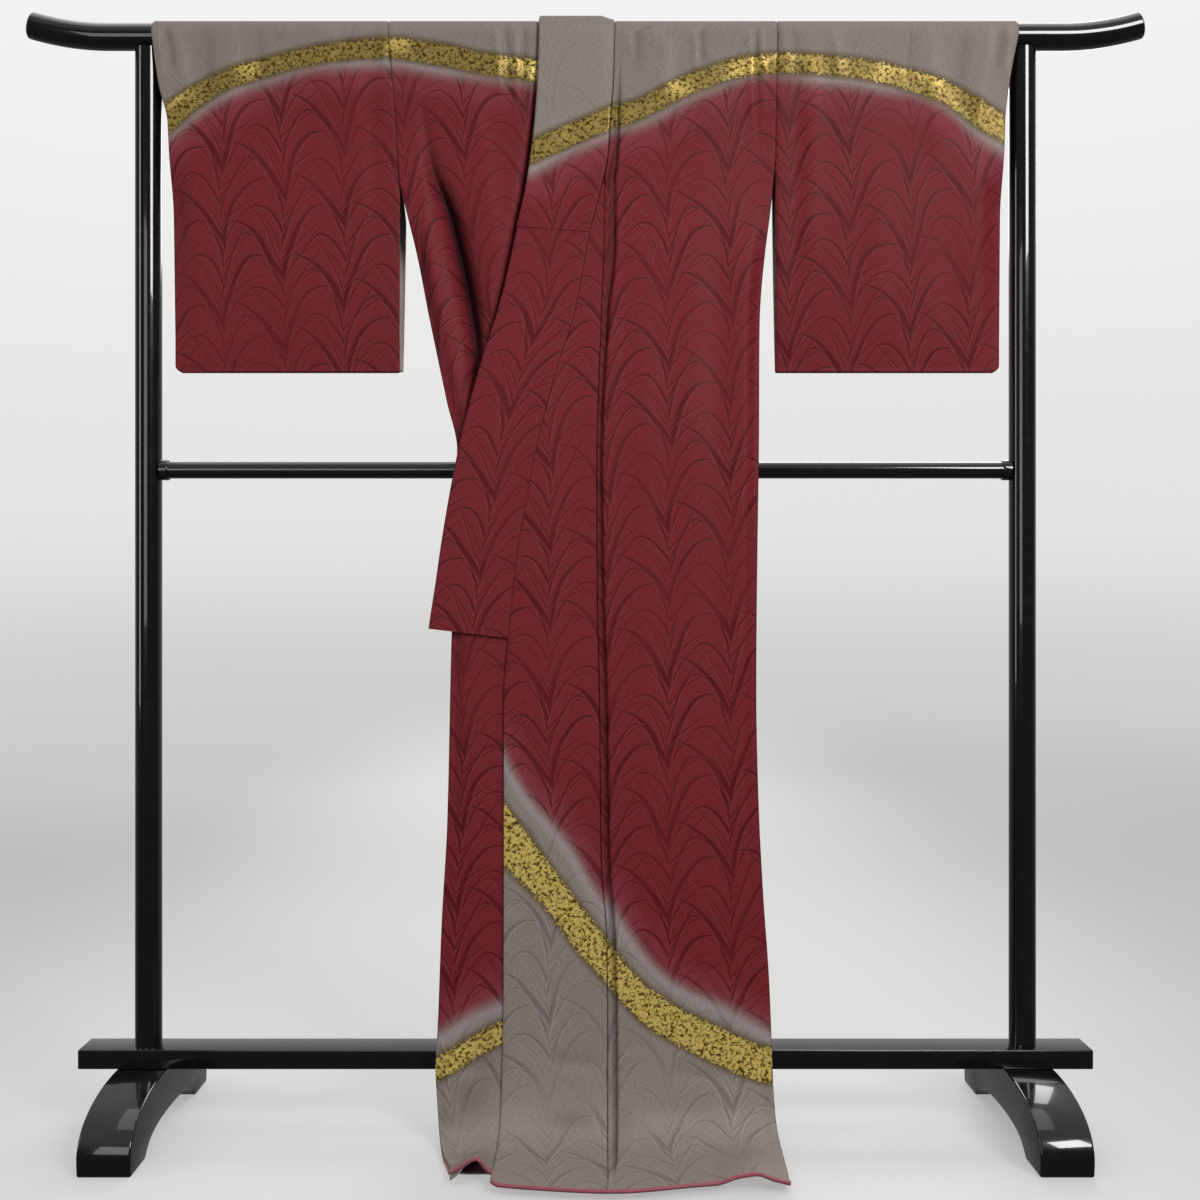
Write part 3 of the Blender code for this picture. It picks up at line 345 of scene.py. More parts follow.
def collar_lift(across, run):
    """The left collar crosses the bar on top of the right one and slopes down to its own seam."""
    over_bar = 2 * LAYER * (1 - ease(across, COLLAR_SLOPE_FROM, COLLAR_SLOPE_TO))
    below = ease(run, 0.0, CROSS_RUN)
    return over_bar * (1 - below) + 2 * LAYER * below


def sewn_side(centre, other, normal, edge_distance, run, sign):
    """Bring the side of a front and its back together where they are sewn below the underarm."""
    near_edge = ease(edge_distance, SIDE_SEAM_WIDTH, 0.0)
    close = near_edge * ease(run, SIDE_SEAM_FROM_RUN, SIDE_SEAM_RUN)
    middle = (centre + other) / 2 + normal * sign * SEWN_HALF
    return centre + (middle - centre) * close[..., None]


def bar_angles():
    return np.linspace(0, math.pi, BAR_STEPS + 2)[1:-1]


# Small creases that the solids don't have. Each runs between two places on the cloth and stands out (or,
# with a minus, sinks) by its height in the middle, with a soft edge of its width.
FRONT_CREASES = table(
    "across run across_end run_end width height",
    # gathers under the bar on the right front
    (-0.128, -0.01, -0.122, 0.1, 0.005, 0.003), (-0.113, -0.01, -0.11, 0.085, 0.0045, -0.0024),
    (-0.098, -0.01, -0.1, 0.12, 0.005, 0.003), (-0.086, -0.01, -0.09, 0.07, 0.004, -0.002),
    # gathers under the bar on the left front
    (0.065, -0.01, 0.064, 0.032, 0.004, 0.0024), (0.076, -0.01, 0.074, 0.06, 0.006, -0.002),
    (0.099, -0.01, 0.099, 0.022, 0.0034, 0.002), (0.109, -0.01, 0.109, 0.024, 0.0034, 0.002),
    (0.121, 0.008, 0.113, 0.09, 0.009, 0.0028), (0.157, -0.01, 0.159, 0.058, 0.0044, 0.0034),
    (0.166, -0.01, 0.168, 0.05, 0.0044, -0.0022), (0.237, -0.01, 0.24, 0.13, 0.0042, 0.0032),
    (0.2455, -0.01, 0.247, 0.15, 0.0036, -0.0028), (0.2535, -0.01, 0.256, 0.08, 0.0034, 0.0026),
    # long soft folds of the hanging fronts
    (0.145, 0.3, 0.15, 1.5, 0.024, 0.0022), (0.19, 0.2, 0.182, 1.42, 0.018, -0.0022),
    (0.226, 0.26, 0.222, 1.52, 0.016, 0.0018), (0.082, 0.38, 0.095, 1.35, 0.017, 0.0016),
    (-0.05, 0.42, -0.052, 1.3, 0.022, 0.0016), (-0.088, 0.9, -0.085, 1.42, 0.014, -0.0012),
    (-0.15, 0.93, -0.152, 1.52, 0.018, 0.0024), (-0.178, 0.88, -0.18, 1.4, 0.012, -0.0018),
    (-0.235, 0.15, -0.205, 0.52, 0.011, 0.0022), (-0.16, 0.08, -0.125, 0.36, 0.016, 0.0026),
    # where the cloth bends on to the floor
    (-0.06, 1.462, 0.03, 1.474, 0.01, -0.0024), (0.11, 1.48, 0.235, 1.494, 0.011, -0.0018),
    (-0.18, 1.48, -0.125, 1.474, 0.009, -0.002), (0.04, 1.56, 0.09, 1.62, 0.007, 0.0016),
    (-0.03, 1.59, 0.01, 1.56, 0.006, 0.0014), (0.12, 1.6, 0.19, 1.56, 0.007, 0.0016),
)
# Blurred patches of painted shade where the fronts bend on to the floor, which change no form: where each
# lies across and along the run, its half width each way and how dark it is
HEM_PAINTED_SHADES = table(
    "across run half_across half_run dark",
    (-0.205, 1.545, 0.024, 0.014, 0.3), (-0.165, 1.52, 0.024, 0.035, 0.26),
    (-0.135, 1.45, 0.018, 0.08, 0.16), (-0.02, 1.545, 0.034, 0.014, 0.28),
    (0.055, 1.545, 0.016, 0.02, 0.18), (0.14, 1.52, 0.06, 0.018, 0.1),
)
SLEEVE_CREASES = table(
    "across run across_end run_end width height",
    (0.585, -0.01, 0.56, 0.15, 0.008, 0.003), (0.612, -0.01, 0.604, 0.07, 0.0045, 0.003),
    (0.6, -0.01, 0.59, 0.06, 0.0035, -0.0026), (0.47, -0.01, 0.462, 0.075, 0.0045, -0.0024),
    (0.36, -0.01, 0.364, 0.08, 0.005, 0.0026), (0.276, -0.01, 0.279, 0.05, 0.0036, -0.0024),
    (0.286, -0.01, 0.287, 0.07, 0.0036, 0.0028), (0.3, -0.01, 0.304, 0.06, 0.004, -0.002),
    (0.545, -0.01, 0.535, 0.12, 0.008, -0.0024), (0.5, -0.01, 0.505, 0.2, 0.01, 0.0022),
    (0.33, 0.01, 0.322, 0.36, 0.012, 0.0022), (0.305, 0.04, 0.3, 0.42, 0.009, -0.0018),
    (0.42, 0.14, 0.425, 0.45, 0.024, 0.0024), (0.52, 0.2, 0.53, 0.46, 0.02, -0.002),
    (0.575, 0.18, 0.585, 0.44, 0.012, 0.0018),
)

# The gold band: where its upper and its lower edge cross the cloth, by the place across
RIGHT_BAND = table(
    "across top bottom",
    (-0.63, 0.122, 0.166), (-0.603, 0.105, 0.148), (-0.522, 0.058, 0.087), (-0.456, 0.038, 0.064),
    (-0.374, 0.019, 0.044), (-0.291, 0.01, 0.037), (-0.209, 0.018, 0.048), (-0.137, 0.033, 0.062),
    (-0.071, 0.04, 0.07), (0.02, 0.044, 0.074),
)
COLLAR_BAND = table("across top bottom",
                    (-0.078, 0.159, 0.191), (-0.022, 0.135, 0.167), (0.042, 0.108, 0.14))
LEFT_BAND = table(
    "across top bottom",
    (-0.02, 0.112, 0.144), (0.042, 0.108, 0.138), (0.164, 0.056, 0.085), (0.236, 0.036, 0.062),
    (0.28, 0.032, 0.059), (0.389, 0.039, 0.066), (0.453, 0.052, 0.081), (0.516, 0.071, 0.104),
    (0.568, 0.099, 0.141), (0.604, 0.122, 0.16), (0.63, 0.14, 0.178),
)
BACK_LEFT_BAND = table(
    "across top bottom",
    (-0.02, 0.043, 0.073), (0.09, 0.05, 0.08), (0.17, 0.046, 0.074), (0.236, 0.036, 0.062),
    (0.29, 0.032, 0.059),
)
LEFT_LOW_BAND = table(
    "across top bottom gap",
    (-0.15, 1.052, 1.138, 0.046), (-0.116, 1.101, 1.187, 0.042), (-0.06, 1.177, 1.245, 0.033),
    (-0.009, 1.245, 1.312, 0.029), (0.035, 1.302, 1.361, 0.026), (0.08, 1.355, 1.41, 0.027),
    (0.134, 1.392, 1.443, 0.025), (0.188, 1.418, 1.47, 0.022), (0.262, 1.45, 1.498, 0.018),
    (0.29, 1.46, 1.506, 0.018),
)
RIGHT_LOW_BAND = table(
    "across top bottom gap",
    (-0.23, 1.476, 1.508, 0.03), (-0.118, 1.411, 1.441, 0.028), (0.15, 1.33, 1.36, 0.028),
)
BACK_LOW_BAND = table(
    "across top bottom gap",
    (-0.23, 1.474, 1.508, 0.014), (-0.1, 1.42, 1.455, 0.016), (0.02, 1.395, 1.432, 0.018),
    (0.14, 1.415, 1.455, 0.016), (0.29, 1.46, 1.502, 0.012),
)
UPPER_GAP = 0.006           # grey between the upper gold and the red; the lower bands have a column for it

# The woven grass: distance between its stems and between its tufts
STEM_SPACING = 0.0877
TUFT_SPACING = 0.1117

FRONT_STEP = 0.007          # greatest distance between two rows of the cloth
BACK_STEP = 0.012
SEWN = 0.00008              # space between two pieces that are sewn together, closed as a seam is
EDGE_WIDTH = 0.0020         # along its edges each piece turns down by a little, into its seam
EDGE_DIP = 0.0012
EDGE_SHADE = 0.40           # and lies in its own shadow there

FOLD_SHADE = 0.93           # how dark the cloth is in the deep fold, beside the collar and inside the tuck
COLLAR_SHADE = 0.80
TUCK_SHADE = 0.55
BODY_COLUMNS = 80           # points across a piece
OVERLAP_COLUMNS = 30
COLLAR_COLUMNS = 26
LEFT_SHIFT = 0.0295         # where each piece was cut from the woven grass
RIGHT_SHIFT = 0.088
OVERLAP_SHIFT = 0.0515
OVERLAP_DROP = 0.04
COLLAR_SHIFT = 0.05
SLEEVE_SHIFT = 0.026

# The deep fold of the right front: how much deeper than the solid's, and its half width
VALLEY = table(
    "run depth half_width",
    (0.06, 0, 0.006), (0.14, 0.003, 0.007), (0.2, 0.008, 0.009), (0.27, 0.017, 0.011), (0.36, 0.02, 0.012),
    (0.44, 0.014, 0.011), (0.56, 0.004, 0.009), (0.7, 0, 0.008),
)
BESIDE_COLLAR = table(
    "run depth",
    (0, 0), (0.06, 0.003), (0.14, 0.009), (0.3, 0.01), (0.42, 0.006), (0.56, 0),
)
BESIDE_COLLAR_WIDTH = 0.0075
TUCK_GROOVE = 0.0045        # how deep the groove beside the tuck is, and its half width
TUCK_GROOVE_WIDTH = 0.0016
PINCHES = table("across run across_end run_end width height",
                (0.012, 1.44, 0.04, 1.5, 0.005, 0.0028), (0.016, 1.5, 0.06, 1.47, 0.0045, -0.0026),
                (-0.004, 1.54, 0.012, 1.44, 0.004, 0.002))
LINING_SHOWS = 0.0048       # how far the back of the right sleeve's free edge shows past its front
ROLL_RADIUS = 0.0028        # the hem's lining as it shows, fuller than the solid's
ROLL_SIDES = 12
CLOTH_SHARP = 55            # degrees between two faces from which their edge shows
TUBE_SHARP = 40
WOOD_SHARP = 30
ROUNDED_FROM = 25           # degrees from which an edge of the wood is rounded


def crease_height(rows, across, run):
    """All the small creases of one table at a place on the cloth."""
    total = np.zeros(np.broadcast(across, run).shape)
    for x, r, x_end, r_end, width, height in zip(*rows.values()):
        flat_way = abs(x_end - x) > abs(r_end - r)
        if flat_way:
            t = (across - x) / (x_end - x)
            off = run - (r + (r_end - r) * np.clip(t, 0, 1))
        else:
            t = (run - r) / (r_end - r)
            off = across - (x + (x_end - x) * np.clip(t, 0, 1))
        ends = ease(t, -0.10, 0.25) * ease(t, 1.10, 0.70)
        total = total + height * ends * np.exp(-(off / width) ** 2)
    return total


def gather_shade(rows, across, run):
    """How dark the cloth is just under the bar, between the tops of its gathers."""
    return np.clip(0.12 - 60 * crease_height(rows, across, run), 0.0, 0.42) * ease(run, 0.22, 0.04)


def hem_shade(across, run):
    """How dark the fronts are in the hollows where they bend on to the floor."""
    total = np.zeros(np.broadcast(across, run).shape)
    for x, r, half_across, half_run, dark in zip(*HEM_PAINTED_SHADES.values()):
        total = total + dark * np.exp(-((across - x) / half_across) ** 2 - ((run - r) / half_run) ** 2)
    return np.minimum(total, 0.42)


def bar_shade(angle):
    """How dark the cloth is where it bends over the bar, away from the light."""
    return 0.12 + 0.26 * ease(angle, 0.25, 0.95) * (1 - ease(angle, 1.6, 2.5))


def valley(across, run):
    """How much deeper than its solid the right front sinks in its fold and beside the left collar."""
    middle = read(TROUGH, "across", run)
    width = read(VALLEY, "half_width", run)
    fold = read(VALLEY, "depth", run) * np.exp(-((across - middle) / width) ** 2)
    edge = read(LEFT_COLLAR, "free", run)
    beside = read(BESIDE_COLLAR, "depth", run) * np.exp(-((across - edge) / BESIDE_COLLAR_WIDTH) ** 2)
    return fold + beside


def valley_shade(across, run):
    """How dark the cloth is in its deep fold and beside the left collar, where no light reaches it."""
    middle = read(TROUGH, "across", run) + 0.002
    width = read(VALLEY, "half_width", run) * 0.85
    in_fold = FOLD_SHADE * ease(read(VALLEY, "depth", run), 0.001, 0.015)
    in_fold = in_fold * np.exp(-((across - middle) / width) ** 2)
    edge = read(LEFT_COLLAR, "free", run)
    in_edge = COLLAR_SHADE * ease(read(BESIDE_COLLAR, "depth", run), 0.0, 0.008)
    in_edge = in_edge * np.exp(-((across - edge) / 0.0060) ** 2)
    return np.maximum(in_fold, in_edge)


def band_place(rows, across, run):
    """Signed distance below the middle of a band and its half width there, square to the band."""
    reach = 0.004
    middle = (read(rows, "top", across, "across") + read(rows, "bottom", across, "across")) / 2
    half = (read(rows, "bottom", across, "across") - read(rows, "top", across, "across")) / 2
    ahead = read(rows, "top", across + reach, "across") + read(rows, "bottom", across + reach, "across")
    behind = read(rows, "top", across - reach, "across") + read(rows, "bottom", across - reach, "across")
    lean = 1 / np.hypot(1, (ahead - behind) / (4 * reach))
    return (run - middle) * lean, half * lean


def dye(upper, lower, across, run):
    """At each point the distance into the red from the gold, the gold's half width and the gap."""
    across, run = np.broadcast_arrays(across, run)
    below, half = band_place(upper, across, run)
    gap = np.full(below.shape, UPPER_GAP)
    if lower is not None:
        beyond, low_half = band_place(lower, across, run)
        nearer = -beyond < below
        below = np.where(nearer, -beyond, below)
        half = np.where(nearer, low_half, half)
        gap = np.where(nearer, read(lower, "gap", across, "across"), gap)
    return np.stack([below, half, gap], -1)


def fine(runs, step):
    """The rows of the solid with more rows between them."""
    out = [runs[0]]
    for start, end in zip(runs, runs[1:]):
        count = max(1, math.ceil((end - start) / step))
        out += [start + (end - start) * k / count for k in range(1, count + 1)]
    return out


class Rows:
    """The rows of one panel, collected from one end of the cloth to the other."""

    def __init__(self):
        self.centre = []
        self.normal = []
        self.cloth = []
        self.dye = []
        # fold: how dark each point is with painted shade
        self.fold = []

    def add(self, centre, normal, along, up, dyed, fold=0.0):
        self.fold.append(np.broadcast_to(fold, centre.shape[:1])[:, None])
        self.centre.append(centre)
        self.normal.append(normal)
        self.cloth.append(np.stack(np.broadcast_arrays(along, up), -1))
        self.dye.append(np.broadcast_to(dyed, centre.shape))


def grid_normals(centre, hint, loop):
    """Normals of the grid itself, on the side of the hint."""
    if loop:
        along = np.roll(centre, -1, 0) - np.roll(centre, 1, 0)
    else:
        along = np.gradient(centre, axis=0)
    sideways = np.gradient(centre, axis=1)
    normal = np.cross(along, sideways)
    normal /= np.linalg.norm(normal, axis=2)[..., None]
    return normal * np.sign(np.sum(normal * hint, 2))[..., None]


def with_edges(grid, rows):
    """The grid with one more column close to each of its two long edges."""
    centre = np.stack(rows.centre)
    for first, second in ((0, 1), (-1, -2)):
        gap = np.linalg.norm(centre[:, second] - centre[:, first], axis=1)
        share = np.clip(EDGE_WIDTH / np.maximum(gap, EDGE_WIDTH * 1.5), 0, 1)[:, None]
        added = (grid[:, first] + (grid[:, second] - grid[:, first]) * share)[:, None]
        if first == 0:
            grid = np.concatenate([grid[:, :1], added, grid[:, 1:]], axis=1)
        else:
            grid = np.concatenate([grid[:, :-1], added, grid[:, -1:]], axis=1)
    return grid


def shell(name, node, rows, materials, loop=False, thickness=CLOTH, lit_edge=None):
    """One cloth piece: a closed thin shell over a grid, silk outside and lining inside."""
    parts = (rows.centre, rows.normal, rows.cloth, rows.dye, rows.fold)
    centre, hint, cloth, dyed, fold = (with_edges(np.stack(part), rows) for part in parts)
    normal = grid_normals(centre, hint, loop)
    # Along both edges each piece dips into its seam and takes painted shade, but for an edge that is lit
    for column in (0, -1):
        if column != lit_edge:
            fold[:, column] = np.maximum(fold[:, column], EDGE_SHADE)
        centre[:, column] -= normal[:, column] * EDGE_DIP
    count_rows, columns = centre.shape[:2]
    count = count_rows * columns
    points = np.concatenate([(centre + normal * thickness / 2).reshape(-1, 3),
                             (centre - normal * thickness / 2).reshape(-1, 3)])
    ids = np.arange(count).reshape(count_rows, columns)
    after = np.roll(ids, -1, 0) if loop else ids[1:]
    here = ids if loop else ids[:-1]
    quads = np.stack([here[:, :-1], here[:, 1:], after[:, 1:], after[:, :-1]], -1).reshape(-1, 4)
    faces = [quads, quads[:, ::-1] + count]
    borders = [(here[:, k], after[:, k]) for k in (0, columns - 1)]
    if not loop:
        borders += [(ids[k, :-1], ids[k, 1:]) for k in (0, count_rows - 1)]
    edge_faces = [np.stack([a, b, b + count, a + count], -1) for a, b in borders]
    faces = np.concatenate(faces + edge_faces)
    mesh = bpy.data.meshes.new(name)
    mesh.from_pydata(points.tolist(), [], faces.tolist())
    slot = np.zeros(len(faces), dtype=np.int32)
    slot[len(quads):2 * len(quads)] = 1
    mesh.polygons.foreach_set("material_index", slot)
    for material in materials:
        mesh.materials.append(material)
    cloth = np.tile(cloth.reshape(-1, 2), (2, 1))
    dyed = np.tile(dyed.reshape(-1, 3), (2, 1))
    corner = np.empty(len(mesh.loops), dtype=np.int32)
    mesh.loops.foreach_get("vertex_index", corner)
    layer = mesh.uv_layers.new(name="cloth")
    layer.data.foreach_set("uv", cloth[corner].astype(np.float32).ravel())
    attribute = mesh.attributes.new("dye", "FLOAT_VECTOR", "POINT")
    attribute.data.foreach_set("vector", dyed.astype(np.float32).ravel())
    # The fold attribute holds each point's painted shade
    attribute = mesh.attributes.new("fold", "FLOAT", "POINT")
    attribute.data.foreach_set("value", np.tile(fold.ravel(), 2).astype(np.float32))
    finish_mesh(mesh, CLOTH_SHARP)
    return add_piece(name, node, mesh)


def add_piece(name, node, mesh):
    piece = bpy.data.objects.new(name, mesh)
    bpy.context.scene.collection.objects.link(piece)
    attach(piece, "root")
    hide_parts(node)
    return piece


def stand(points):
    """From the middle of the stand, where the tables start, to the frame."""
    return points + np.array([0.0, STAND_BACK, 0.0])


def front_cloth(across, run, lift):
    """Front layer with its small creases."""
    run = np.broadcast_to(run, across.shape)
    return front_point(across, run, lift + crease_height(FRONT_CREASES, across, run))


def over_bar(rows, across, angle, lift, along, upper):
    """One row of a panel where it lies over the bar."""
    centre, normal = bar_point(across, angle, lift)
    above = ON_BAR * min(angle, math.pi - angle)
    rows.add(stand(centre), normal, along, above, dye(upper, None, across, -above), bar_shade(angle))


def body_panel(name, node, left, materials):
    """One body panel: the front, over the bar, and the back."""
    side = LEFT_SIDE if left else RIGHT_SIDE
    upper = LEFT_BAND if left else RIGHT_BAND
    lower = LEFT_LOW_BAND if left else RIGHT_LOW_BAND
    inward = -1 if left else 1
    columns = BODY_COLUMNS
    spread = np.linspace(0, 1, columns)
    rows = Rows()

    def front_inner(run):
        edge = read(LEFT_OKUMI_SEAM if left else RIGHT_OKUMI_SEAM, "across", run)
        if run <= KENSAKI_RUN:
            collar = read(LEFT_COLLAR if left else RIGHT_COLLAR, "seam", run)
            edge = max(edge, collar) if left else min(edge, collar)
        return edge - inward * SEWN / 2

    def outer_edge(run):
        return read(side, "across", run) + inward * SEWN / 2

    def along(across, run):
        """The cloth's own place across; the right front leans with its side."""
        if left:
            return across - LEFT_SHIFT
        return across - (read(side, "across", run) - side["across"][0]) * ease(run, 0.0, 0.7) + RIGHT_SHIFT

    for run in reversed(fine(FRONT_RUNS, FRONT_STEP)):
        low = outer_edge(run)
        high = front_inner(run)
        across = low + (high - low) * spread
        if left:
            tuck = float(read(TUCK, "width", run))
            far = high + TUCK_FOOT + tuck
            near = tuck + TUCK_STEP + (TUCK_FOOT - TUCK_STEP) * np.linspace(1, 0, 6)[1:]
            edge = tuck + TUCK_STEP * np.linspace(1, 0, 5)[1:]
            top = tuck * np.linspace(1, 0, 6)[1:]
            across = np.concatenate([low + (far - low) * np.linspace(0, 1, columns - 14), high + near,
                                     high + edge, high + top])
            shown = ease(run, TUCK_FROM_RUN, CROSS_RUN) * (1 - ease(run, TUCK_FADE_RUN, TUCK_END_RUN))
            over = ease(across - high, tuck + TUCK_STEP, tuck)
            over = over * (0.75 + 0.25 * ease(across - high, 0.0, tuck))
            groove = np.exp(-((across - high - tuck - TUCK_STEP) / TUCK_GROOVE_WIDTH) ** 2)
            lift = left_lift(across, run) + (TUCK_HEIGHT * over - TUCK_GROOVE * groove) * shown
            lift = lift + crease_height(PINCHES, across, np.full_like(across, run))
        else:
            lift = -trough_depth(across, run) - valley(across, run)
        centre, normal = front_cloth(across, hem_run(across, run, left), lift)
        other = back_point(across, run)[0]
        centre = sewn_side(centre, other, normal, np.abs(across - low), run, 1)
        # Painted shade on the front: in its deep fold and beside the collar, inside the tuck, between the
        # gathers under the bar and in the hollows at the hem
        fold = 0.0 if left else valley_shade(across, run)
        if left:
            inside_tuck = ease(across - high, tuck * 0.25, tuck)
            inside_tuck = inside_tuck * ease(across - high, tuck + 0.003, tuck + 0.001)
            fold = TUCK_SHADE * inside_tuck * shown
        fold = np.maximum(fold, gather_shade(FRONT_CREASES, across, np.full_like(across, run)))
        fold = np.maximum(fold, hem_shade(across, run))
        rows.add(stand(centre), normal, along(across, run), -run, dye(upper, lower, across, run), fold)
    neck = read(LEFT_COLLAR if left else RIGHT_COLLAR, "seam", 0.0) - inward * SEWN / 2
    across = outer_edge(0.0) + (neck - outer_edge(0.0)) * spread
    for angle in bar_angles():
        over_bar(rows, across, angle, np.zeros(columns), along(across, 0.0), upper)
    for run in fine(BACK_RUNS, BACK_STEP):
        low = outer_edge(run)
        high = neck if run <= NECK_RUN else CENTRE_BACK - inward * SEWN / 2
        across = low + (high - low) * spread
        centre, normal = back_point(across, run)
        lift = left_lift(across, run) if left else np.zeros(columns)
        other = front_point(across, run, lift)[0]
        centre = sewn_side(centre, other, normal, np.abs(across - low), run, -1)
        rows.add(stand(centre), -normal, along(across, 0.0), -run,
                 dye(BACK_LEFT_BAND if left else upper, BACK_LOW_BAND, across, run))
    return shell(name, node, rows, materials)


def okumi_panel(name, node, left, materials):
    """The overlap sewn between a front and the collar."""
    columns = OVERLAP_COLUMNS
    spread = np.linspace(0, 1, columns)
    rows = Rows()
    for run in fine([r for r in FRONT_RUNS if r >= KENSAKI_RUN], FRONT_STEP):
        collar = LEFT_COLLAR if left else RIGHT_COLLAR
        edge = LEFT_OKUMI_EDGE if left else RIGHT_OKUMI_EDGE
        seam = LEFT_OKUMI_SEAM if left else RIGHT_OKUMI_SEAM
        outer = read(collar, "seam", run) if run <= COLLAR_RUN else read(edge, "across", run)
        ends = sorted((float(outer), float(read(seam, "across", run))))
        low = ends[0] + SEWN / 2
        high = ends[1] - SEWN / 2
        across = low + (high - low) * spread
        lift = left_lift(across, run) if left else np.zeros(columns)
        centre, normal = front_cloth(across, hem_run(across, run, left), lift)
        lower = LEFT_LOW_BAND if left else RIGHT_LOW_BAND
        upper = LEFT_BAND if left else RIGHT_BAND
        rows.add(stand(centre), normal, across + OVERLAP_SHIFT, -run - OVERLAP_DROP,
                 dye(upper, lower, across, run), hem_shade(across, run))
    return shell(name, node, rows, materials, lit_edge=0 if left else None)


def collar_strip(name, node, left, over, materials):
    """Half of the collar, or of the over-collar on it."""
    table_rows = LEFT_COLLAR if left else RIGHT_COLLAR
    last = OVER_COLLAR_RUN if over else COLLAR_RUN
    columns = COLLAR_COLUMNS
    spread = np.linspace(0, 1, columns)
    shown = LAYER if over else 0.0
    margin = OVER_COLLAR_INSET if over else SEWN / 2
    end_slant = OVER_COLLAR_END_SLANT if over else COLLAR_END_SLANT
    upper = COLLAR_BAND if left else RIGHT_BAND
    rows = Rows()

    def places(run):
        first, second = ("free", "seam") if left else ("seam", "free")
        low = read(table_rows, first, run) + margin
        return low + (read(table_rows, second, run) - margin - low) * spread

    def along(across, run):
        return across - read(table_rows, "seam", run) * ease(run, 0.2, 0.5) + COLLAR_SHIFT

    for run in reversed(fine([r for r in FRONT_RUNS if r <= last], FRONT_STEP)):
        across = places(run)
        lift = collar_lift(across, run) if left else np.zeros(columns)
        slant = (1 - spread) if left else spread
        cut = run - end_slant * slant * ease(run, last - COLLAR_END_REACH, last)
        settled = 0.0012 * ease(run, last - 0.03, last) if over else 0.0
        centre, normal = front_cloth(across, cut, lift + shown - settled)
        rows.add(stand(centre), normal, along(across, run), -cut, dye(upper, None, across, cut))
    across = places(0.0)
    for angle in bar_angles():
        behind = ease(angle, math.pi / 2, COLLAR_BEHIND_TURN)
        lift = np.zeros(columns)
        if left:
            lift = collar_lift(across, 0.0) * (1 - behind) + 2 * LAYER * behind
        over_bar(rows, across, angle, lift + shown, along(across, 0.0), upper)
    end = COLLAR_BACK_RUN if left or over else NECK_RUN - SEAM
    for run in np.linspace(0, end, 9):
        centre, normal = back_point(across, run)
        lift = np.full(columns, (2 * LAYER if left else 0.0) + shown)
        rows.add(stand(centre - normal * lift[:, None]), -normal, along(across, 0.0), -run,
                 dye(upper, None, across, run))
    return shell(name, node, rows, materials)


def sleeve(name, node, left, materials):
    """A sleeve: a loop of cloth over the bar, closed at the bottom, with its cuff open at the top."""
    cuff = LEFT_CUFF if left else RIGHT_CUFF
    seam = LEFT_SIDE if left else RIGHT_SIDE
    seam_end = LEFT_UNDERARM_RUN if left else RIGHT_UNDERARM_RUN
    free = LEFT_SLEEVE_EDGE if left else RIGHT_SLEEVE_EDGE
    outward = 1 if left else -1
    upper = LEFT_BAND if left else RIGHT_BAND
    spread = np.concatenate([np.linspace(0, 0.86, 44), np.linspace(0.86, 1.0, 15)[1:]])
    runs = fine(SLEEVE_RUNS, FRONT_STEP) + fine((SLEEVE_RUNS[-1], SLEEVE_BOTTOM_RUN - 0.001), 0.003)[1:]
    rows = Rows()

    def places(run, peek=0.0):
        low = read(seam if run <= seam_end else free, "across", run) + outward * SEWN / 2
        low = low - outward * peek * ease(run, seam_end, seam_end + 0.05)
        turned = ease(run, SLEEVE_CORNER_RUN, SLEEVE_BOTTOM_RUN)
        corner = SLEEVE_CORNER * (1 - np.sqrt(1 - turned ** 2))
        high = read(cuff, "across", run) - outward * corner
        return low + (high - low) * spread, high

    def half_depth(across, edge, run):
        open_depth = read(SLEEVE_HANG, "half_depth", run)
        closing = ease(np.abs(across - edge), SLEEVE_EDGE_WIDTH, 0.0) * ease(run, SLEEVE_SEWN_FROM,
                                                                            SLEEVE_SEWN_RUN)
        crease = crease_height(SLEEVE_CREASES, np.abs(across), np.full_like(across, run)) * (1 - closing)
        crease = crease * ease(run, SLEEVE_BOTTOM_RUN, SLEEVE_CORNER_RUN - 0.05)
        return open_depth + (SEWN_HALF - open_depth) * closing + crease

    def along(across):
        return across - LEFT_SHIFT + (0.0 if left else SLEEVE_SHIFT)

    def add(across, y, z, ny, nz, run, fold=0.0):
        centre = np.stack([across, y, z], -1)
        normal = np.stack([np.zeros_like(across), np.full_like(across, ny), np.full_like(across, nz)], -1)
        rows.add(stand(centre), normal, along(across), -run, dye(upper, None, across, run), fold)

    for run in runs:
        across, edge = places(run)
        add(across, -half_depth(across, edge, run), np.full_like(across, BAR_HEIGHT - run), -1.0, 0.0, run,
            gather_shade(SLEEVE_CREASES, np.abs(across), np.full_like(across, run)))
    across, edge = places(SLEEVE_BOTTOM_RUN)
    depth = half_depth(across, edge, SLEEVE_BOTTOM_RUN)
    for angle in np.linspace(0, math.pi, 9):
        height = BAR_HEIGHT - SLEEVE_BOTTOM_RUN + depth * (1 - math.sin(angle))
        add(across, -depth * math.cos(angle), height, -math.cos(angle), -math.sin(angle),
            SLEEVE_BOTTOM_RUN)
    for run in reversed(runs):
        across, edge = places(run, 0.0 if left else LINING_SHOWS)
        add(across, half_depth(across, edge, run), np.full_like(across, BAR_HEIGHT - run), 1.0, 0.0, run)
    across, edge = places(0.0)
    for angle in reversed(bar_angles()):
        radius = ON_BAR * BAR_SWELL
        above = ON_BAR * min(angle, math.pi - angle)
        add(across, np.full_like(across, -radius * math.cos(angle)),
            np.full_like(across, BAR_HEIGHT + radius * math.sin(angle)), -math.cos(angle), math.sin(angle),
            -above, bar_shade(angle))
    return shell(name, node, rows, materials, loop=True)


def ring_faces(ids):
    """Faces between closed rings of points."""
    return np.stack([ids[:-1], np.roll(ids[:-1], -1, 1), np.roll(ids[1:], -1, 1), ids[1:]], -1).reshape(-1, 4)


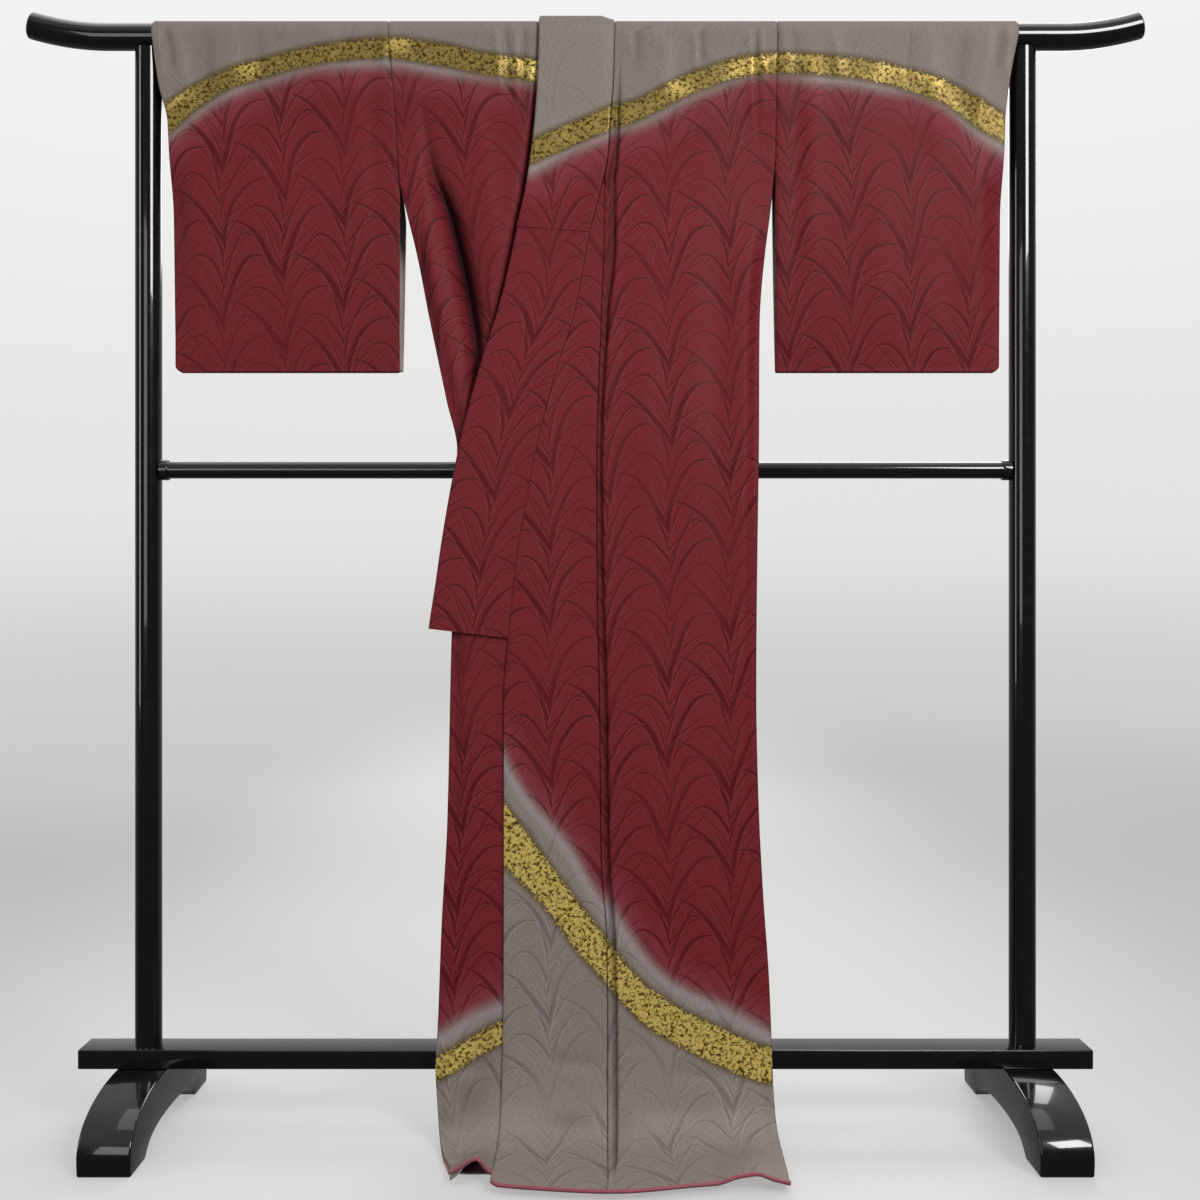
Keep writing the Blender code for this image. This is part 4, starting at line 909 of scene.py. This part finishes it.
def tube(name, path, radii, sides, plane=(0.0, 1.0, 0.0)):
    """Mesh of a round bar through a list of points, closed at its ends."""
    path = np.asarray(path, float)
    radii = np.broadcast_to(np.asarray(radii, float), (len(path),))
    along = np.gradient(path, axis=0)
    along /= np.linalg.norm(along, axis=1)[:, None]
    up = np.cross(plane, along)
    up /= np.linalg.norm(up, axis=1)[:, None]
    level = np.cross(along, up)
    angle = 2 * math.pi * np.arange(sides) / sides
    ring = np.cos(angle)[None, :, None] * up[:, None] + np.sin(angle)[None, :, None] * level[:, None]
    points = path[:, None] + ring * radii[:, None, None]
    ids = np.arange(len(path) * sides).reshape(len(path), sides)
    faces = ring_faces(ids)
    mesh = bpy.data.meshes.new(name)
    ends = [ids[0].tolist(), ids[-1].tolist()]
    mesh.from_pydata(points.reshape(-1, 3).tolist(), [], faces.tolist() + ends)
    finish_mesh(mesh, TUBE_SHARP)
    return mesh


def finish_mesh(mesh, sharp, edge=0.0):
    """Turns the faces outwards, rounds the edges and shades the mesh smooth but for what is sharper."""
    body = bmesh.new()
    body.from_mesh(mesh)
    bmesh.ops.recalc_face_normals(body, faces=body.faces)
    if body.calc_volume(signed=True) < 0:
        bmesh.ops.reverse_faces(body, faces=body.faces)
    if edge:
        corners = [e for e in body.edges if e.calc_face_angle(0.0) > math.radians(ROUNDED_FROM)]
        bmesh.ops.bevel(body, geom=corners, offset=edge, segments=4, profile=0.5, affect="EDGES",
                        clamp_overlap=True)
    body.to_mesh(mesh)
    body.free()
    mesh.shade_smooth()
    mesh.set_sharp_from_angle(angle=math.radians(sharp))


def hem_roll(name, node, left, material):
    """The lining rolled out along the hem of one front and its overlap."""
    first, last, rows = RIGHT_SIDE, RIGHT_OKUMI_EDGE, RIGHT_HEM_ROLL_ROWS
    if left:
        first, last, rows = LEFT_OKUMI_EDGE, LEFT_SIDE, LEFT_HEM_ROLL_ROWS
    places = np.linspace(read(first, "across", HEM_RUN) + HEM_ROLL_END,
                         read(last, "across", HEM_RUN) - HEM_ROLL_END, 3 * rows)
    centre = front_point(places, hem_run(places, HEM_RUN, left), 2 * LAYER if left else 0.0)[0]
    centre[:, 1] -= CLOTH
    centre[:, 2] += ROLL_RADIUS * 0.6
    mesh = tube(name, stand(centre), ROLL_RADIUS, ROLL_SIDES)
    mesh.materials.append(material)
    return add_piece(name, node, mesh)


# Colours, linear
RED = (0.182, 0.0180, 0.0240)
RED_BLADE = (0.074, 0.0035, 0.0065)
# The light line along the blades on the red, partly the weave's own colour and partly a painted sheen
RED_LINE_AND_SHEEN = (0.330, 0.078, 0.086)
RED_NEAR_GREY = (0.235, 0.040, 0.056)
GREY = (0.262, 0.222, 0.194)
GREY_BLADE = (0.135, 0.108, 0.108)
# The light line along the blades on the grey, partly the weave's own colour and partly a painted sheen
GREY_LINE_AND_SHEEN = (0.520, 0.475, 0.450)
PALE = (0.480, 0.400, 0.410)
GOLD_DARK = (0.052, 0.030, 0.004)
GOLD = (0.200, 0.124, 0.014)
GOLD_LIGHT = (0.700, 0.520, 0.150)
GOLD_HALO = (0.115, 0.076, 0.024)
DARK_PINK = (0.300, 0.070, 0.090)
# Colour of the painted shade on the gold near the shoulder
GOLD_PAINTED_SHADE = (0.060, 0.036, 0.004)
# Colour of the painted shade in the folds, creases, hollows and edges of the silk
PAINTED_SHADE_COLOUR = (0.004, 0.0015, 0.0020)
BLACK = (0.0, 0.0, 0.0)
GREY_LINING = (0.420, 0.370, 0.350)
LACQUER = (0.0045, 0.0045, 0.0050)
LACQUER_DUST = (0.012, 0.012, 0.013)
FLOOR = (0.25, 0.25, 0.245)
# Glow of the floor and of the wall by height: painted light
FLOOR_GLOW = (1.0, 0.995, 0.975)
WALL_GLOWS = ((-0.1, 0.35, (0.46, 0.46, 0.45)), (0.2, 1.3, (0.67, 0.67, 0.66)),
              (1.0, 3.8, (0.80, 0.80, 0.79)))   # from one height to another, and the glow above

# Sizes of the patterns in the silk, as so many to the metre
WANDER_SCALE = 11.0
FAINT_SCALE = 8.0
CLOUD_SCALE = 6.0
GRAIN_SCALE = 950.0
RAGGED_SCALE = 280.0
FLAKE_SCALE = 400.0
PATCH_SCALE = 190.0
# and of the patches of painted glint on the gold
GLINT_SCALE = 14.0

# The camera of the photograph, in millimetres on its sensor and in metres in the room
CAMERA_LENS = 43.47
CAMERA_SENSOR = 36.0
CAMERA_SHIFT = (0.0121, -0.0017)
CAMERA_DISTANCE = 2.10      # in front of the bar
CAMERA_HEIGHT = 0.764

# Lights: where each is, where it points, its width and height, its watts and its colour
LIGHTS = (
    ("key", (1.9, -2.8, 2.6), (0.0, 0.0, 0.9), (1.3, 1.3), 102.0, (1.0, 0.99, 0.98)),
    ("fill", (-1.2, -3.4, 1.4), (0.0, 0.0, 0.8), (1.5, 1.5), 20.0, (0.98, 0.99, 1.0)),
    ("window", (-2.4, -0.9, 1.35), (0.0, 0.0, 1.0), (0.30, 1.8), 12.0, (0.98, 0.99, 1.0)),
    ("ceiling", (0.0, 0.6, 3.6), (0.0, 0.2, 0.0), (3.0, 2.4), 26.0, (1.0, 1.0, 1.0)),
    ("behind", (0.8, 2.8, 2.6), (0.0, 0.0, 0.9), (2.0, 1.4), 40.0, (1.0, 1.0, 1.0)),
)

# The floor, which turns up into a wall
FLOOR_SIDES = 96
FLOOR_FLAT = 4.2            # flat out to this distance
FLOOR_CURVE = 1.3           # radius of its turn
WALL_TOP = 6.0
FLOOR_DROP = 0.0003         # it lies this far below the feet

# Half the outline of a foot as it shows, with a rounder toe than its solid's
FOOT_SHOWN = table(
    "forward height",
    (0, 0.03), (0.06, 0.028), (0.1, 0.02), (0.118, 0.009), (0.128, 0), (0.192, 0), (0.1945, 0.021),
    (0.1925, 0.033), (0.1865, 0.045), (0.176, 0.0565), (0.158, 0.068), (0.13, 0.0785), (0.095, 0.0856),
    (0.06, 0.089), (0.03, 0.0897),
)

# Blades that leave a stem to one side: where each starts up the stem, how far out and how high its arch is
# and how round (2 or 3), how far out it ends, its half width, how dark it is, how light the thin line
# along it (partly woven, partly a painted highlight) and after how many tufts it comes again
BLADES_RIGHT = table(
    "start out high round end half tone line again",
    (0, 0.065, 0.096, 3, 0.072, 0.0038, 1, 0.5, 1), (0.024, 0.074, 0.048, 2, 0.08, 0.0016, 0.62, 0.9, 0.5),
    (0.1, 0.042, 0.054, 2, 0.05, 0.0022, 0.6, 0.8, 1), (0.044, 0.054, 0.082, 3, 0.058, 0.0024, 0.8, 0.6, 1),
    (0.062, 0.09, 0.11, 2, 0.084, 0.0018, 0.55, 0.9, 1), (0.03, 0.19, 0.16, 2, 0.064, 0.0011, 0.6, 0.9, 1),
)
BLADES_LEFT = table(
    "start out high round end half tone line again",
    (0.002, 0.078, 0.074, 2, 0.082, 0.004, 1, 0.5, 1), (0.06, 0.036, 0.038, 2, 0.07, 0.0024, 0.85, 0.6, 1),
    (0.036, 0.046, 0.05, 2, 0.058, 0.0015, 0.55, 0.9, 0.5),
    (0.084, 0.06, 0.082, 3, 0.066, 0.0028, 0.85, 0.55, 1),
    (0.016, 0.082, 0.1, 2, 0.084, 0.0017, 0.5, 0.95, 1), (0.03, 0.18, 0.17, 2, 0.056, 0.0011, 0.55, 0.9, 1),
)


class Num:
    """A number that flows through a material's nodes."""

    def __init__(self, tree, socket):
        self.tree = tree
        self.socket = socket

    def math(self, kind, *others, clamp=False):
        node = self.tree.nodes.new("ShaderNodeMath")
        node.operation = kind
        node.use_clamp = clamp
        for slot, value in zip(node.inputs, (self,) + others):
            link(self.tree, value, slot)
        return Num(self.tree, node.outputs[0])

    def scaled(self, factor, added):
        return self.math("MULTIPLY_ADD", factor, added)

    def __add__(self, other):
        return self.math("ADD", other)

    def __sub__(self, other):
        return self.math("SUBTRACT", other)

    def __mul__(self, other):
        return self.math("MULTIPLY", other)

    def __truediv__(self, other):
        return self.math("DIVIDE", other)

    def ramp(self, low, high):
        """0 at low to 1 at high, with soft ends."""
        node = self.tree.nodes.new("ShaderNodeMapRange")
        node.interpolation_type = "SMOOTHSTEP"
        link(self.tree, self, node.inputs["Value"])
        link(self.tree, low, node.inputs["From Min"])
        link(self.tree, high, node.inputs["From Max"])
        return Num(self.tree, node.outputs["Result"])


def link(tree, value, slot):
    if isinstance(value, Num):
        tree.links.new(value.socket, slot)
    elif isinstance(value, tuple):
        slot.default_value = (*value, 1.0)
    else:
        slot.default_value = value


def mix(tree, share, first, second):
    """Colour between two colours."""
    node = tree.nodes.new("ShaderNodeMix")
    node.data_type = "RGBA"
    link(tree, share, node.inputs[0])
    link(tree, first, node.inputs[6])
    link(tree, second, node.inputs[7])
    return Num(tree, node.outputs[2])


def new_material(name, colour, **values):
    """A material, its tree and its shader; values are set on the shader's own sockets."""
    material = bpy.data.materials.new(name)
    material.use_nodes = True
    tree = material.node_tree
    shader = tree.nodes["Principled BSDF"]
    shader.inputs["Base Color"].default_value = (*colour, 1.0)
    for socket, value in values.items():
        shader.inputs[socket.replace("_", " ")].default_value = value
    return material, tree, shader


def texture(tree, kind, vector, scale, detail=2.0):
    node = tree.nodes.new(kind)
    tree.links.new(vector, node.inputs["Vector"])
    node.inputs["Scale"].default_value = scale
    if "Detail" in node.inputs:
        node.inputs["Detail"].default_value = detail
    return node


def noise(tree, vector, scale, detail=0.0):
    return Num(tree, texture(tree, "ShaderNodeTexNoise", vector, scale, detail).outputs["Fac"])


def separate(tree, socket, kind="XYZ"):
    """The three numbers of a vector or a colour."""
    node = tree.nodes.new("ShaderNodeSeparate" + kind)
    tree.links.new(socket, node.inputs[0])
    return [Num(tree, part) for part in node.outputs]


def attribute(tree, name, output):
    node = tree.nodes.new("ShaderNodeAttribute")
    node.attribute_name = name
    return node.outputs[output]


def bump(tree, shader, height, strength, distance):
    node = tree.nodes.new("ShaderNodeBump")
    node.inputs["Strength"].default_value = strength
    node.inputs["Distance"].default_value = distance
    tree.links.new(height.socket, node.inputs["Height"])
    tree.links.new(node.outputs["Normal"], shader.inputs["Normal"])


def blade(out_from_stem, squared, up, row):
    """One family of arched blades up a stem: how dark it is here, and the thin light line along it, which is
    partly the weave's and partly a painted highlight.
    """
    start, out, high, round_, end, half, tone, shine, again = row
    left_over = out_from_stem.scaled(-1 / out, 1.0)
    fallen = left_over * left_over
    steep = left_over * (2 * high / out)
    if round_ > 2:
        steep = fallen * (3 * high / out)
        fallen = fallen * left_over
    gap = TUFT_SPACING * again / 2
    off = fallen.scaled(high, up + -(high + start)).math("WRAP", gap, -gap)
    off = off * steep.scaled(steep, 1.0).math("INVERSE_SQRT")
    across = off / squared.scaled(-half / end ** 2, half).math("MAXIMUM", 0.00001)
    dark = (across * across).math("MULTIPLY_ADD", -tone, tone * 1.2, clamp=True)
    light = (across + 1.5).math("ABSOLUTE").math("MULTIPLY_ADD", -2.6 * shine, shine, clamp=True)
    return dark, light


def grass(tree, u, v):
    """The woven grass: stems side by side, each with blades that arch over to both sides."""
    column = (u / STEM_SPACING).math("FLOOR")
    right_of_stem = u - column * STEM_SPACING
    left_of_stem = right_of_stem * -1.0 + STEM_SPACING
    turn = column * 0.381
    up_right = v + turn.math("FRACT") * TUFT_SPACING
    up_left = v + (turn + 0.381).math("FRACT") * TUFT_SPACING
    dark = None
    light = None
    for place, up, rows in ((right_of_stem, up_right, BLADES_RIGHT), (left_of_stem, up_left, BLADES_LEFT)):
        squared = place * place
        for row in zip(*rows.values()):
            one_dark, one_light = blade(place, squared, up, [float(value) for value in row])
            dark = one_dark if dark is None else dark.math("MAXIMUM", one_dark)
            light = one_light if light is None else light.math("MAXIMUM", one_light)
    return dark, light


def silk(name):
    """Figured silk dyed red and grey with a band of gold flakes between them, with painted shade, highlights
    and glints on it.
    """
    material, tree, shader = new_material(name, RED, Sheen_Weight=0.03, Sheen_Roughness=0.40)
    shader.inputs["Specular IOR Level"].default_value = 0.12
    shader.inputs["Sheen Tint"].default_value = (1.0, 0.86, 0.84, 1.0)
    uv = tree.nodes.new("ShaderNodeUVMap")
    uv.uv_map = "cloth"
    place = uv.outputs["UV"]
    u, v, _ = separate(tree, place)
    into_red, half, gap = separate(tree, attribute(tree, "dye", "Vector"))

    wander = texture(tree, "ShaderNodeTexNoise", place, WANDER_SCALE, 0.0)
    wander = separate(tree, wander.outputs["Color"], "Color")
    u = u + (wander[0] - 0.5) * 0.016
    v = v + (wander[1] - 0.5) * 0.024
    dark, light = grass(tree, u, v)
    clear = noise(tree, place, FAINT_SCALE).ramp(0.25, 0.65)
    dark = dark * (clear * 0.45 + 0.55)
    light = light * (clear * 0.6 + 0.2)
    # On the grey the blades and their light lines fade towards the shoulder; the light lines are strongest
    # low down, as painted glints where the light glances
    below_shoulder = v.ramp(-0.15, -0.90) * 0.75 + 0.25

    cloud = noise(tree, place, CLOUD_SCALE, 1.0)
    ribs = tree.nodes.new("ShaderNodeCombineXYZ")
    tree.links.new((u * 0.22).socket, ribs.inputs["X"])
    tree.links.new(v.socket, ribs.inputs["Y"])
    grain = noise(tree, ribs.outputs[0], GRAIN_SCALE)
    edge = into_red - half - gap + (cloud - 0.5) * 0.030
    ground = mix(tree, edge.ramp(0.006, 0.060), RED_NEAR_GREY, RED)
    # The thin light line along each blade is partly the weave's own and partly a painted highlight, as of a
    # raised edge
    red = mix(tree, light * 0.60, mix(tree, dark * 0.80, ground, RED_BLADE), RED_LINE_AND_SHEEN)
    shown = dark * dark * below_shoulder
    grey = mix(tree, light * below_shoulder * 0.60, mix(tree, shown * 0.60, GREY, GREY_BLADE), GREY_LINE_AND_SHEEN)
    fringe = edge.ramp(-0.020, 0.000) * edge.ramp(0.012, -0.002)
    grey = mix(tree, fringe * 0.42, grey, PALE)
    colour = mix(tree, edge.ramp(-0.008, 0.020), grey, red)

    ragged = noise(tree, place, RAGGED_SCALE) - 0.5
    outside = into_red.math("ABSOLUTE") - half
    halo = outside.ramp(0.0105, -0.001)
    colour = mix(tree, halo * 0.90, colour, GOLD_HALO)
    gold = (outside + ragged * 0.012).ramp(0.0022, -0.0024)
    flakes = texture(tree, "ShaderNodeTexVoronoi", place, FLAKE_SCALE)
    flake = separate(tree, flakes.outputs["Color"], "Color")[0]
    patch = noise(tree, place, PATCH_SCALE)
    shade = flake * 0.8 + (patch - 0.5) * 1.6 + outside.ramp(0.0, -0.005) * 0.10
    leaf = mix(tree, shade.ramp(0.10, 0.62), GOLD_DARK, GOLD)
    leaf = mix(tree, shade.ramp(0.48, 0.84), leaf, GOLD_LIGHT)
    # Painted light on the gold: near the shoulder it takes painted shade, but for soft patches left bright as
    # painted glints
    glint = noise(tree, place, GLINT_SCALE).ramp(0.52, 0.68)
    upper_gold_painted_shade = (glint * -0.56 + 0.60) * v.ramp(-0.90, -0.20)
    leaf = mix(tree, upper_gold_painted_shade, leaf, GOLD_PAINTED_SHADE)
    colour = mix(tree, gold, colour, leaf)
    colour = mix(tree, (grain * -1.0 + 1.0).ramp(0.25, 0.75) * 0.20, colour, BLACK)
    # Painted shade: each point's fold value darkens the silk in its folds, creases, hollows, under the bar
    # and along its edges
    painted_shade = Num(tree, attribute(tree, "fold", "Fac"))
    colour = mix(tree, painted_shade, colour, PAINTED_SHADE_COLOUR)
    tree.links.new(colour.socket, shader.inputs["Base Color"])
    tree.links.new((gold * 0.25).socket, shader.inputs["Metallic"])
    rough = (dark * -0.08 + 0.60) + light * -0.10 + (cloud - 0.5) * 0.10
    rough = rough + gold * -0.14
    tree.links.new(rough.socket, shader.inputs["Roughness"])
    bump(tree, shader, grain, 0.45, 0.00013)
    return material


def plain_cloth(name, colour, roughness):
    """Plain silk with a fine weave."""
    material, tree, shader = new_material(name, colour, Roughness=roughness, Sheen_Weight=0.25)
    shader.inputs["Specular IOR Level"].default_value = 0.30
    uv = tree.nodes.new("ShaderNodeTexCoord").outputs["Object"]
    cloud = noise(tree, uv, 9.0, 3.0)
    grain = noise(tree, uv, 1100.0, 2.0)
    darker = tuple(0.72 * c for c in colour)
    tree.links.new(mix(tree, cloud * 0.6 + grain * 0.4, darker, colour).socket, shader.inputs["Base Color"])
    bump(tree, shader, grain, 0.35, 0.0004)
    return material


def lacquer(name):
    """Black lacquer, polished, with a faint unevenness and a little dust in its gloss."""
    material, tree, shader = new_material(name, LACQUER, Coat_Weight=0.75, Coat_Roughness=0.035)
    shader.inputs["Specular IOR Level"].default_value = 0.20
    uv = tree.nodes.new("ShaderNodeTexCoord").outputs["Object"]
    dust = noise(tree, uv, 60.0, 4.0)
    ripple = noise(tree, uv, 14.0, 1.0)
    tree.links.new((dust * 0.14 + 0.10).socket, shader.inputs["Roughness"])
    shade = mix(tree, dust.ramp(0.45, 0.9) * 0.5, LACQUER, LACQUER_DUST)
    tree.links.new(shade.socket, shader.inputs["Base Color"])
    bump(tree, shader, ripple, 0.10, 0.0010)
    return material


def stand_pieces(material):
    """The lacquered stand, as its solids are but round and with soft edges."""
    bend = np.linspace(0, 1, 17)[1:]
    outwards = BAR_STRAIGHT + (BAR_HALF - BAR_STRAIGHT) * bend
    rises = BAR_RISE * bend ** 2
    half = [(BAR_STRAIGHT, 0.0)] + list(zip(outwards, rises))
    tip = np.array([outwards[-1] - outwards[-2], rises[-1] - rises[-2]])
    tip /= np.linalg.norm(tip)
    turns = np.linspace(0, math.pi / 2, 6)
    rounded = [(half[-1][0] - tip[0] * BAR_EDGE * (1 - math.sin(a)),
                half[-1][1] - tip[1] * BAR_EDGE * (1 - math.sin(a))) for a in turns]
    half = half[:-1] + rounded
    radii = [BAR_RADIUS] * (len(half) - len(turns))
    radii += [BAR_RADIUS - BAR_EDGE * (1 - math.cos(a)) for a in turns]
    path = [(-x, 0.0, BAR_HEIGHT + z) for x, z in reversed(half)]
    path += [(x, 0.0, BAR_HEIGHT + z) for x, z in half]
    bar = tube("stand_top_bar", stand(np.array(path)), radii[::-1] + radii, 64)
    pieces = [("stand_top_bar", "top_bar", bar)]

    step = RAIL_COLLAR_EDGE
    collar = POST_ACROSS - POST_RADIUS - RAIL_COLLAR_LENGTH
    inside = POST_ACROSS - POST_RADIUS + 0.0012
    half = [(collar - step, RAIL_RADIUS), (collar - step * 0.6, RAIL_COLLAR_RADIUS - step * 0.5),
            (collar, RAIL_COLLAR_RADIUS - step * 0.1), (collar + step, RAIL_COLLAR_RADIUS),
            (inside, RAIL_COLLAR_RADIUS)]
    path = [(-x, 0.0, RAIL_HEIGHT) for x, _ in reversed(half)] + [(x, 0.0, RAIL_HEIGHT) for x, _ in half]
    radii = [r for _, r in reversed(half)] + [r for _, r in half]
    pieces.append(("stand_rail", "rail", tube("stand_rail", stand(np.array(path)), radii, 48)))

    for side, sign in (("right", -1), ("left", 1)):
        x = sign * POST_ACROSS
        path = [(x, 0.0, BEAM_TOP + SEAM), (x, 0.0, 0.8), (x, 0.0, BAR_HEIGHT - BAR_RADIUS + 0.0008)]
        mesh = tube("stand_post_" + side, stand(np.array(path)), POST_RADIUS, 64)
        pieces.append(("stand_post_" + side, "post_" + side, mesh))

        half = list(zip(FOOT_SHOWN["forward"], FOOT_SHOWN["height"]))
        outline = [(-f, h) for f, h in half] + [(f, h) for f, h in reversed(half[1:])]
        outline = smooth_outline(outline)
        middle = sign * FOOT_ACROSS
        points = [(middle + w, y, z) for w in (-FOOT_WIDTH / 2, FOOT_WIDTH / 2) for y, z in outline]
        pieces.append(("stand_foot_" + side, "foot_" + side,
                       extruded("stand_foot_" + side, stand(np.array(points)), len(outline), 0.0030)))

    low = (-BEAM_HALF, -BEAM_DEPTH / 2, BEAM_BOTTOM + SEAM)
    high = (BEAM_HALF, BEAM_DEPTH / 2, BEAM_TOP)
    outline = [(low[1], low[2]), (high[1], low[2]), (high[1], high[2]), (low[1], high[2])]
    points = [(x, y, z) for x in (low[0], high[0]) for y, z in outline]
    pieces.append(("stand_beam", "beam", extruded("stand_beam", stand(np.array(points)), 4, BEAM_EDGE)))
    for name, node, mesh in pieces:
        mesh.materials.append(material)
        add_piece(name, node, mesh)


def smooth_outline(outline):
    """The foot's outline drawn as a smooth curve."""
    points = [np.array(p) for p in outline]
    smooth = []
    for k, point in enumerate(points):
        before = points[k - 1]
        after = points[(k + 1) % len(points)]
        lengths = np.linalg.norm(point - before) * np.linalg.norm(after - point)
        turn = (point - before) @ (after - point) / lengths
        if turn > math.cos(math.radians(35)):
            smooth += [point + (before - point) * 0.25, point + ((before + after) / 2 - point) * 0.25,
                       point + (after - point) * 0.25]
        else:
            smooth.append(point)
    return [tuple(p) for p in smooth]


def extruded(name, points, count, edge):
    """A solid between two copies of an outline, with rounded edges."""
    faces = [tuple(range(count)), tuple(range(2 * count - 1, count - 1, -1))]
    for k in range(count):
        after = (k + 1) % count
        faces.append((k, after, count + after, count + k))
    mesh = bpy.data.meshes.new(name)
    mesh.from_pydata(points.tolist(), [], faces)
    finish_mesh(mesh, WOOD_SHARP, edge)
    return mesh


def area_light(name, place, target, size, watts, colour):
    data = bpy.data.lights.new(name, "AREA")
    data.shape = "RECTANGLE"
    data.size, data.size_y = size
    data.energy = watts
    data.color = colour
    light = bpy.data.objects.new(name, data)
    light.location = place
    direction = np.array(target) - np.array(place)
    flat = math.hypot(direction[0], direction[1])
    light.rotation_euler = (math.atan2(flat, -direction[2]), 0.0, math.atan2(-direction[0], direction[1]))
    bpy.context.scene.collection.objects.link(light)


def backdrop():
    """A pale floor that curves up into a wall far outside the views; its glow is painted light that only the
    camera sees.
    """
    turn = np.linspace(0.1, math.pi / 2, 14)
    wall = FLOOR_FLAT + FLOOR_CURVE
    profile = [(1.5, 0.0), (3.0, 0.0), (FLOOR_FLAT, 0.0)]
    profile += [(FLOOR_FLAT + FLOOR_CURVE * math.sin(a), FLOOR_CURVE * (1 - math.cos(a))) for a in turn]
    profile += [(wall, 2.6), (wall, 4.2), (wall, WALL_TOP)]
    angle = 2 * math.pi * np.arange(FLOOR_SIDES) / FLOOR_SIDES
    points = [(r * math.cos(a), r * math.sin(a), z) for r, z in profile for a in angle] + [(0.0, 0.0, 0.0)]
    ids = np.arange(len(profile) * FLOOR_SIDES).reshape(-1, FLOOR_SIDES)
    faces = ring_faces(ids)
    middle = [(len(points) - 1, int(a), int(b)) for a, b in zip(ids[0], np.roll(ids[0], -1))]
    mesh = bpy.data.meshes.new("floor")
    mesh.from_pydata(points, [], faces.tolist() + middle)
    body = bmesh.new()
    body.from_mesh(mesh)
    bmesh.ops.recalc_face_normals(body, faces=body.faces)
    if sum(face.normal.z for face in body.faces) < 0:
        bmesh.ops.reverse_faces(body, faces=body.faces)
    body.to_mesh(mesh)
    body.free()
    mesh.shade_smooth()
    material, tree, shader = new_material("pale_floor", FLOOR, Roughness=0.60)
    across, back, height = separate(tree, tree.nodes.new("ShaderNodeTexCoord").outputs["Object"])
    # Painted light: the floor glows instead of being lit, dimmer to the sides, a little brighter to one side
    # and further back, and brighter higher up the wall
    beside = across.math("ABSOLUTE").ramp(0.4, 1.5)
    far = back.ramp(1.8, 4.2)
    level = beside * -0.17 + 0.37 + across.ramp(1.0, -1.0) * 0.05 + far * 0.15
    glow = mix(tree, level, BLACK, FLOOR_GLOW)
    for low, high, colour in WALL_GLOWS:
        glow = mix(tree, height.ramp(low, high), glow, colour)
    tree.links.new(glow.socket, shader.inputs["Emission Color"])
    shader.inputs["Emission Strength"].default_value = 1.0
    mesh.materials.append(material)
    floor = bpy.data.objects.new("floor", mesh)
    floor.location.z = -FLOOR_DROP
    floor.visible_shadow = False
    floor.visible_diffuse = False
    floor.visible_glossy = False
    bpy.context.scene.collection.objects.link(floor)


def room_light():
    """A room that is pale behind the stand and above it, and dim in front of it, as its lacquer shows."""
    world = bpy.data.worlds.new("studio")
    bpy.context.scene.world = world
    world.use_nodes = True
    tree = world.node_tree
    _, back, up = separate(tree, tree.nodes.new("ShaderNodeTexCoord").outputs["Generated"])
    behind = back.ramp(-0.15, 0.75)
    above = up.ramp(0.25, 0.80)
    background = tree.nodes["Background"]
    background.inputs["Color"].default_value = (0.95, 0.97, 1.0, 1.0)
    below = up.ramp(-0.30, 0.05) * 0.7 + 0.3
    strength = (behind * 0.32).math("MAXIMUM", above * 0.55) * below + 0.09
    tree.links.new(strength.socket, background.inputs["Strength"])


def studio():
    """Pale floor, soft light and the camera of the photograph."""
    bpy.context.scene.view_settings.view_transform = "Standard"
    backdrop()
    room_light()
    for light in LIGHTS:
        area_light(*light)

    data = bpy.data.cameras.new("camera")
    data.lens = CAMERA_LENS
    data.sensor_width = CAMERA_SENSOR
    data.shift_x, data.shift_y = CAMERA_SHIFT
    data.clip_start = 0.05
    data.clip_end = 100.0
    camera = bpy.data.objects.new("camera", data)
    camera.location = (0.0, STAND_BACK - CAMERA_DISTANCE, CAMERA_HEIGHT)
    camera.rotation_euler = (math.radians(90), 0.0, 0.0)
    bpy.context.scene.collection.objects.link(camera)
    bpy.context.scene.camera = camera


def main():
    figured = silk("figured_silk")
    pink = plain_cloth("dark_pink_lining", DARK_PINK, 0.45)
    grey = plain_cloth("grey_lining", GREY_LINING, 0.50)
    stand_pieces(lacquer("black_lacquer"))

    body_right = body_panel("kimono_body_right", "body_right", False, (figured, pink))
    body_left = body_panel("kimono_body_left", "body_left", True, (figured, pink))
    okumi_right = okumi_panel("kimono_overlap_right", "okumi_right", False, (figured, pink))
    okumi_left = okumi_panel("kimono_overlap_left", "okumi_left", True, (figured, pink))
    collars = {}
    for side, left in (("right", False), ("left", True)):
        for over in (False, True):
            node = ("over_collar_" if over else "collar_") + side
            collars[node] = collar_strip("kimono_" + node, node, left, over, (figured, grey))
    sleeve_right = sleeve("kimono_sleeve_right", "sleeve_right", False, (figured, grey))
    sleeve_left = sleeve("kimono_sleeve_left", "sleeve_left", True, (figured, grey))
    roll_right = hem_roll("kimono_hem_roll_right", "hem_roll_right", False, pink)
    roll_left = hem_roll("kimono_hem_roll_left", "hem_roll_left", True, pink)

    for node, piece in collars.items():
        length = 0.40 if "over" in node else 0.98
    studio()


main()
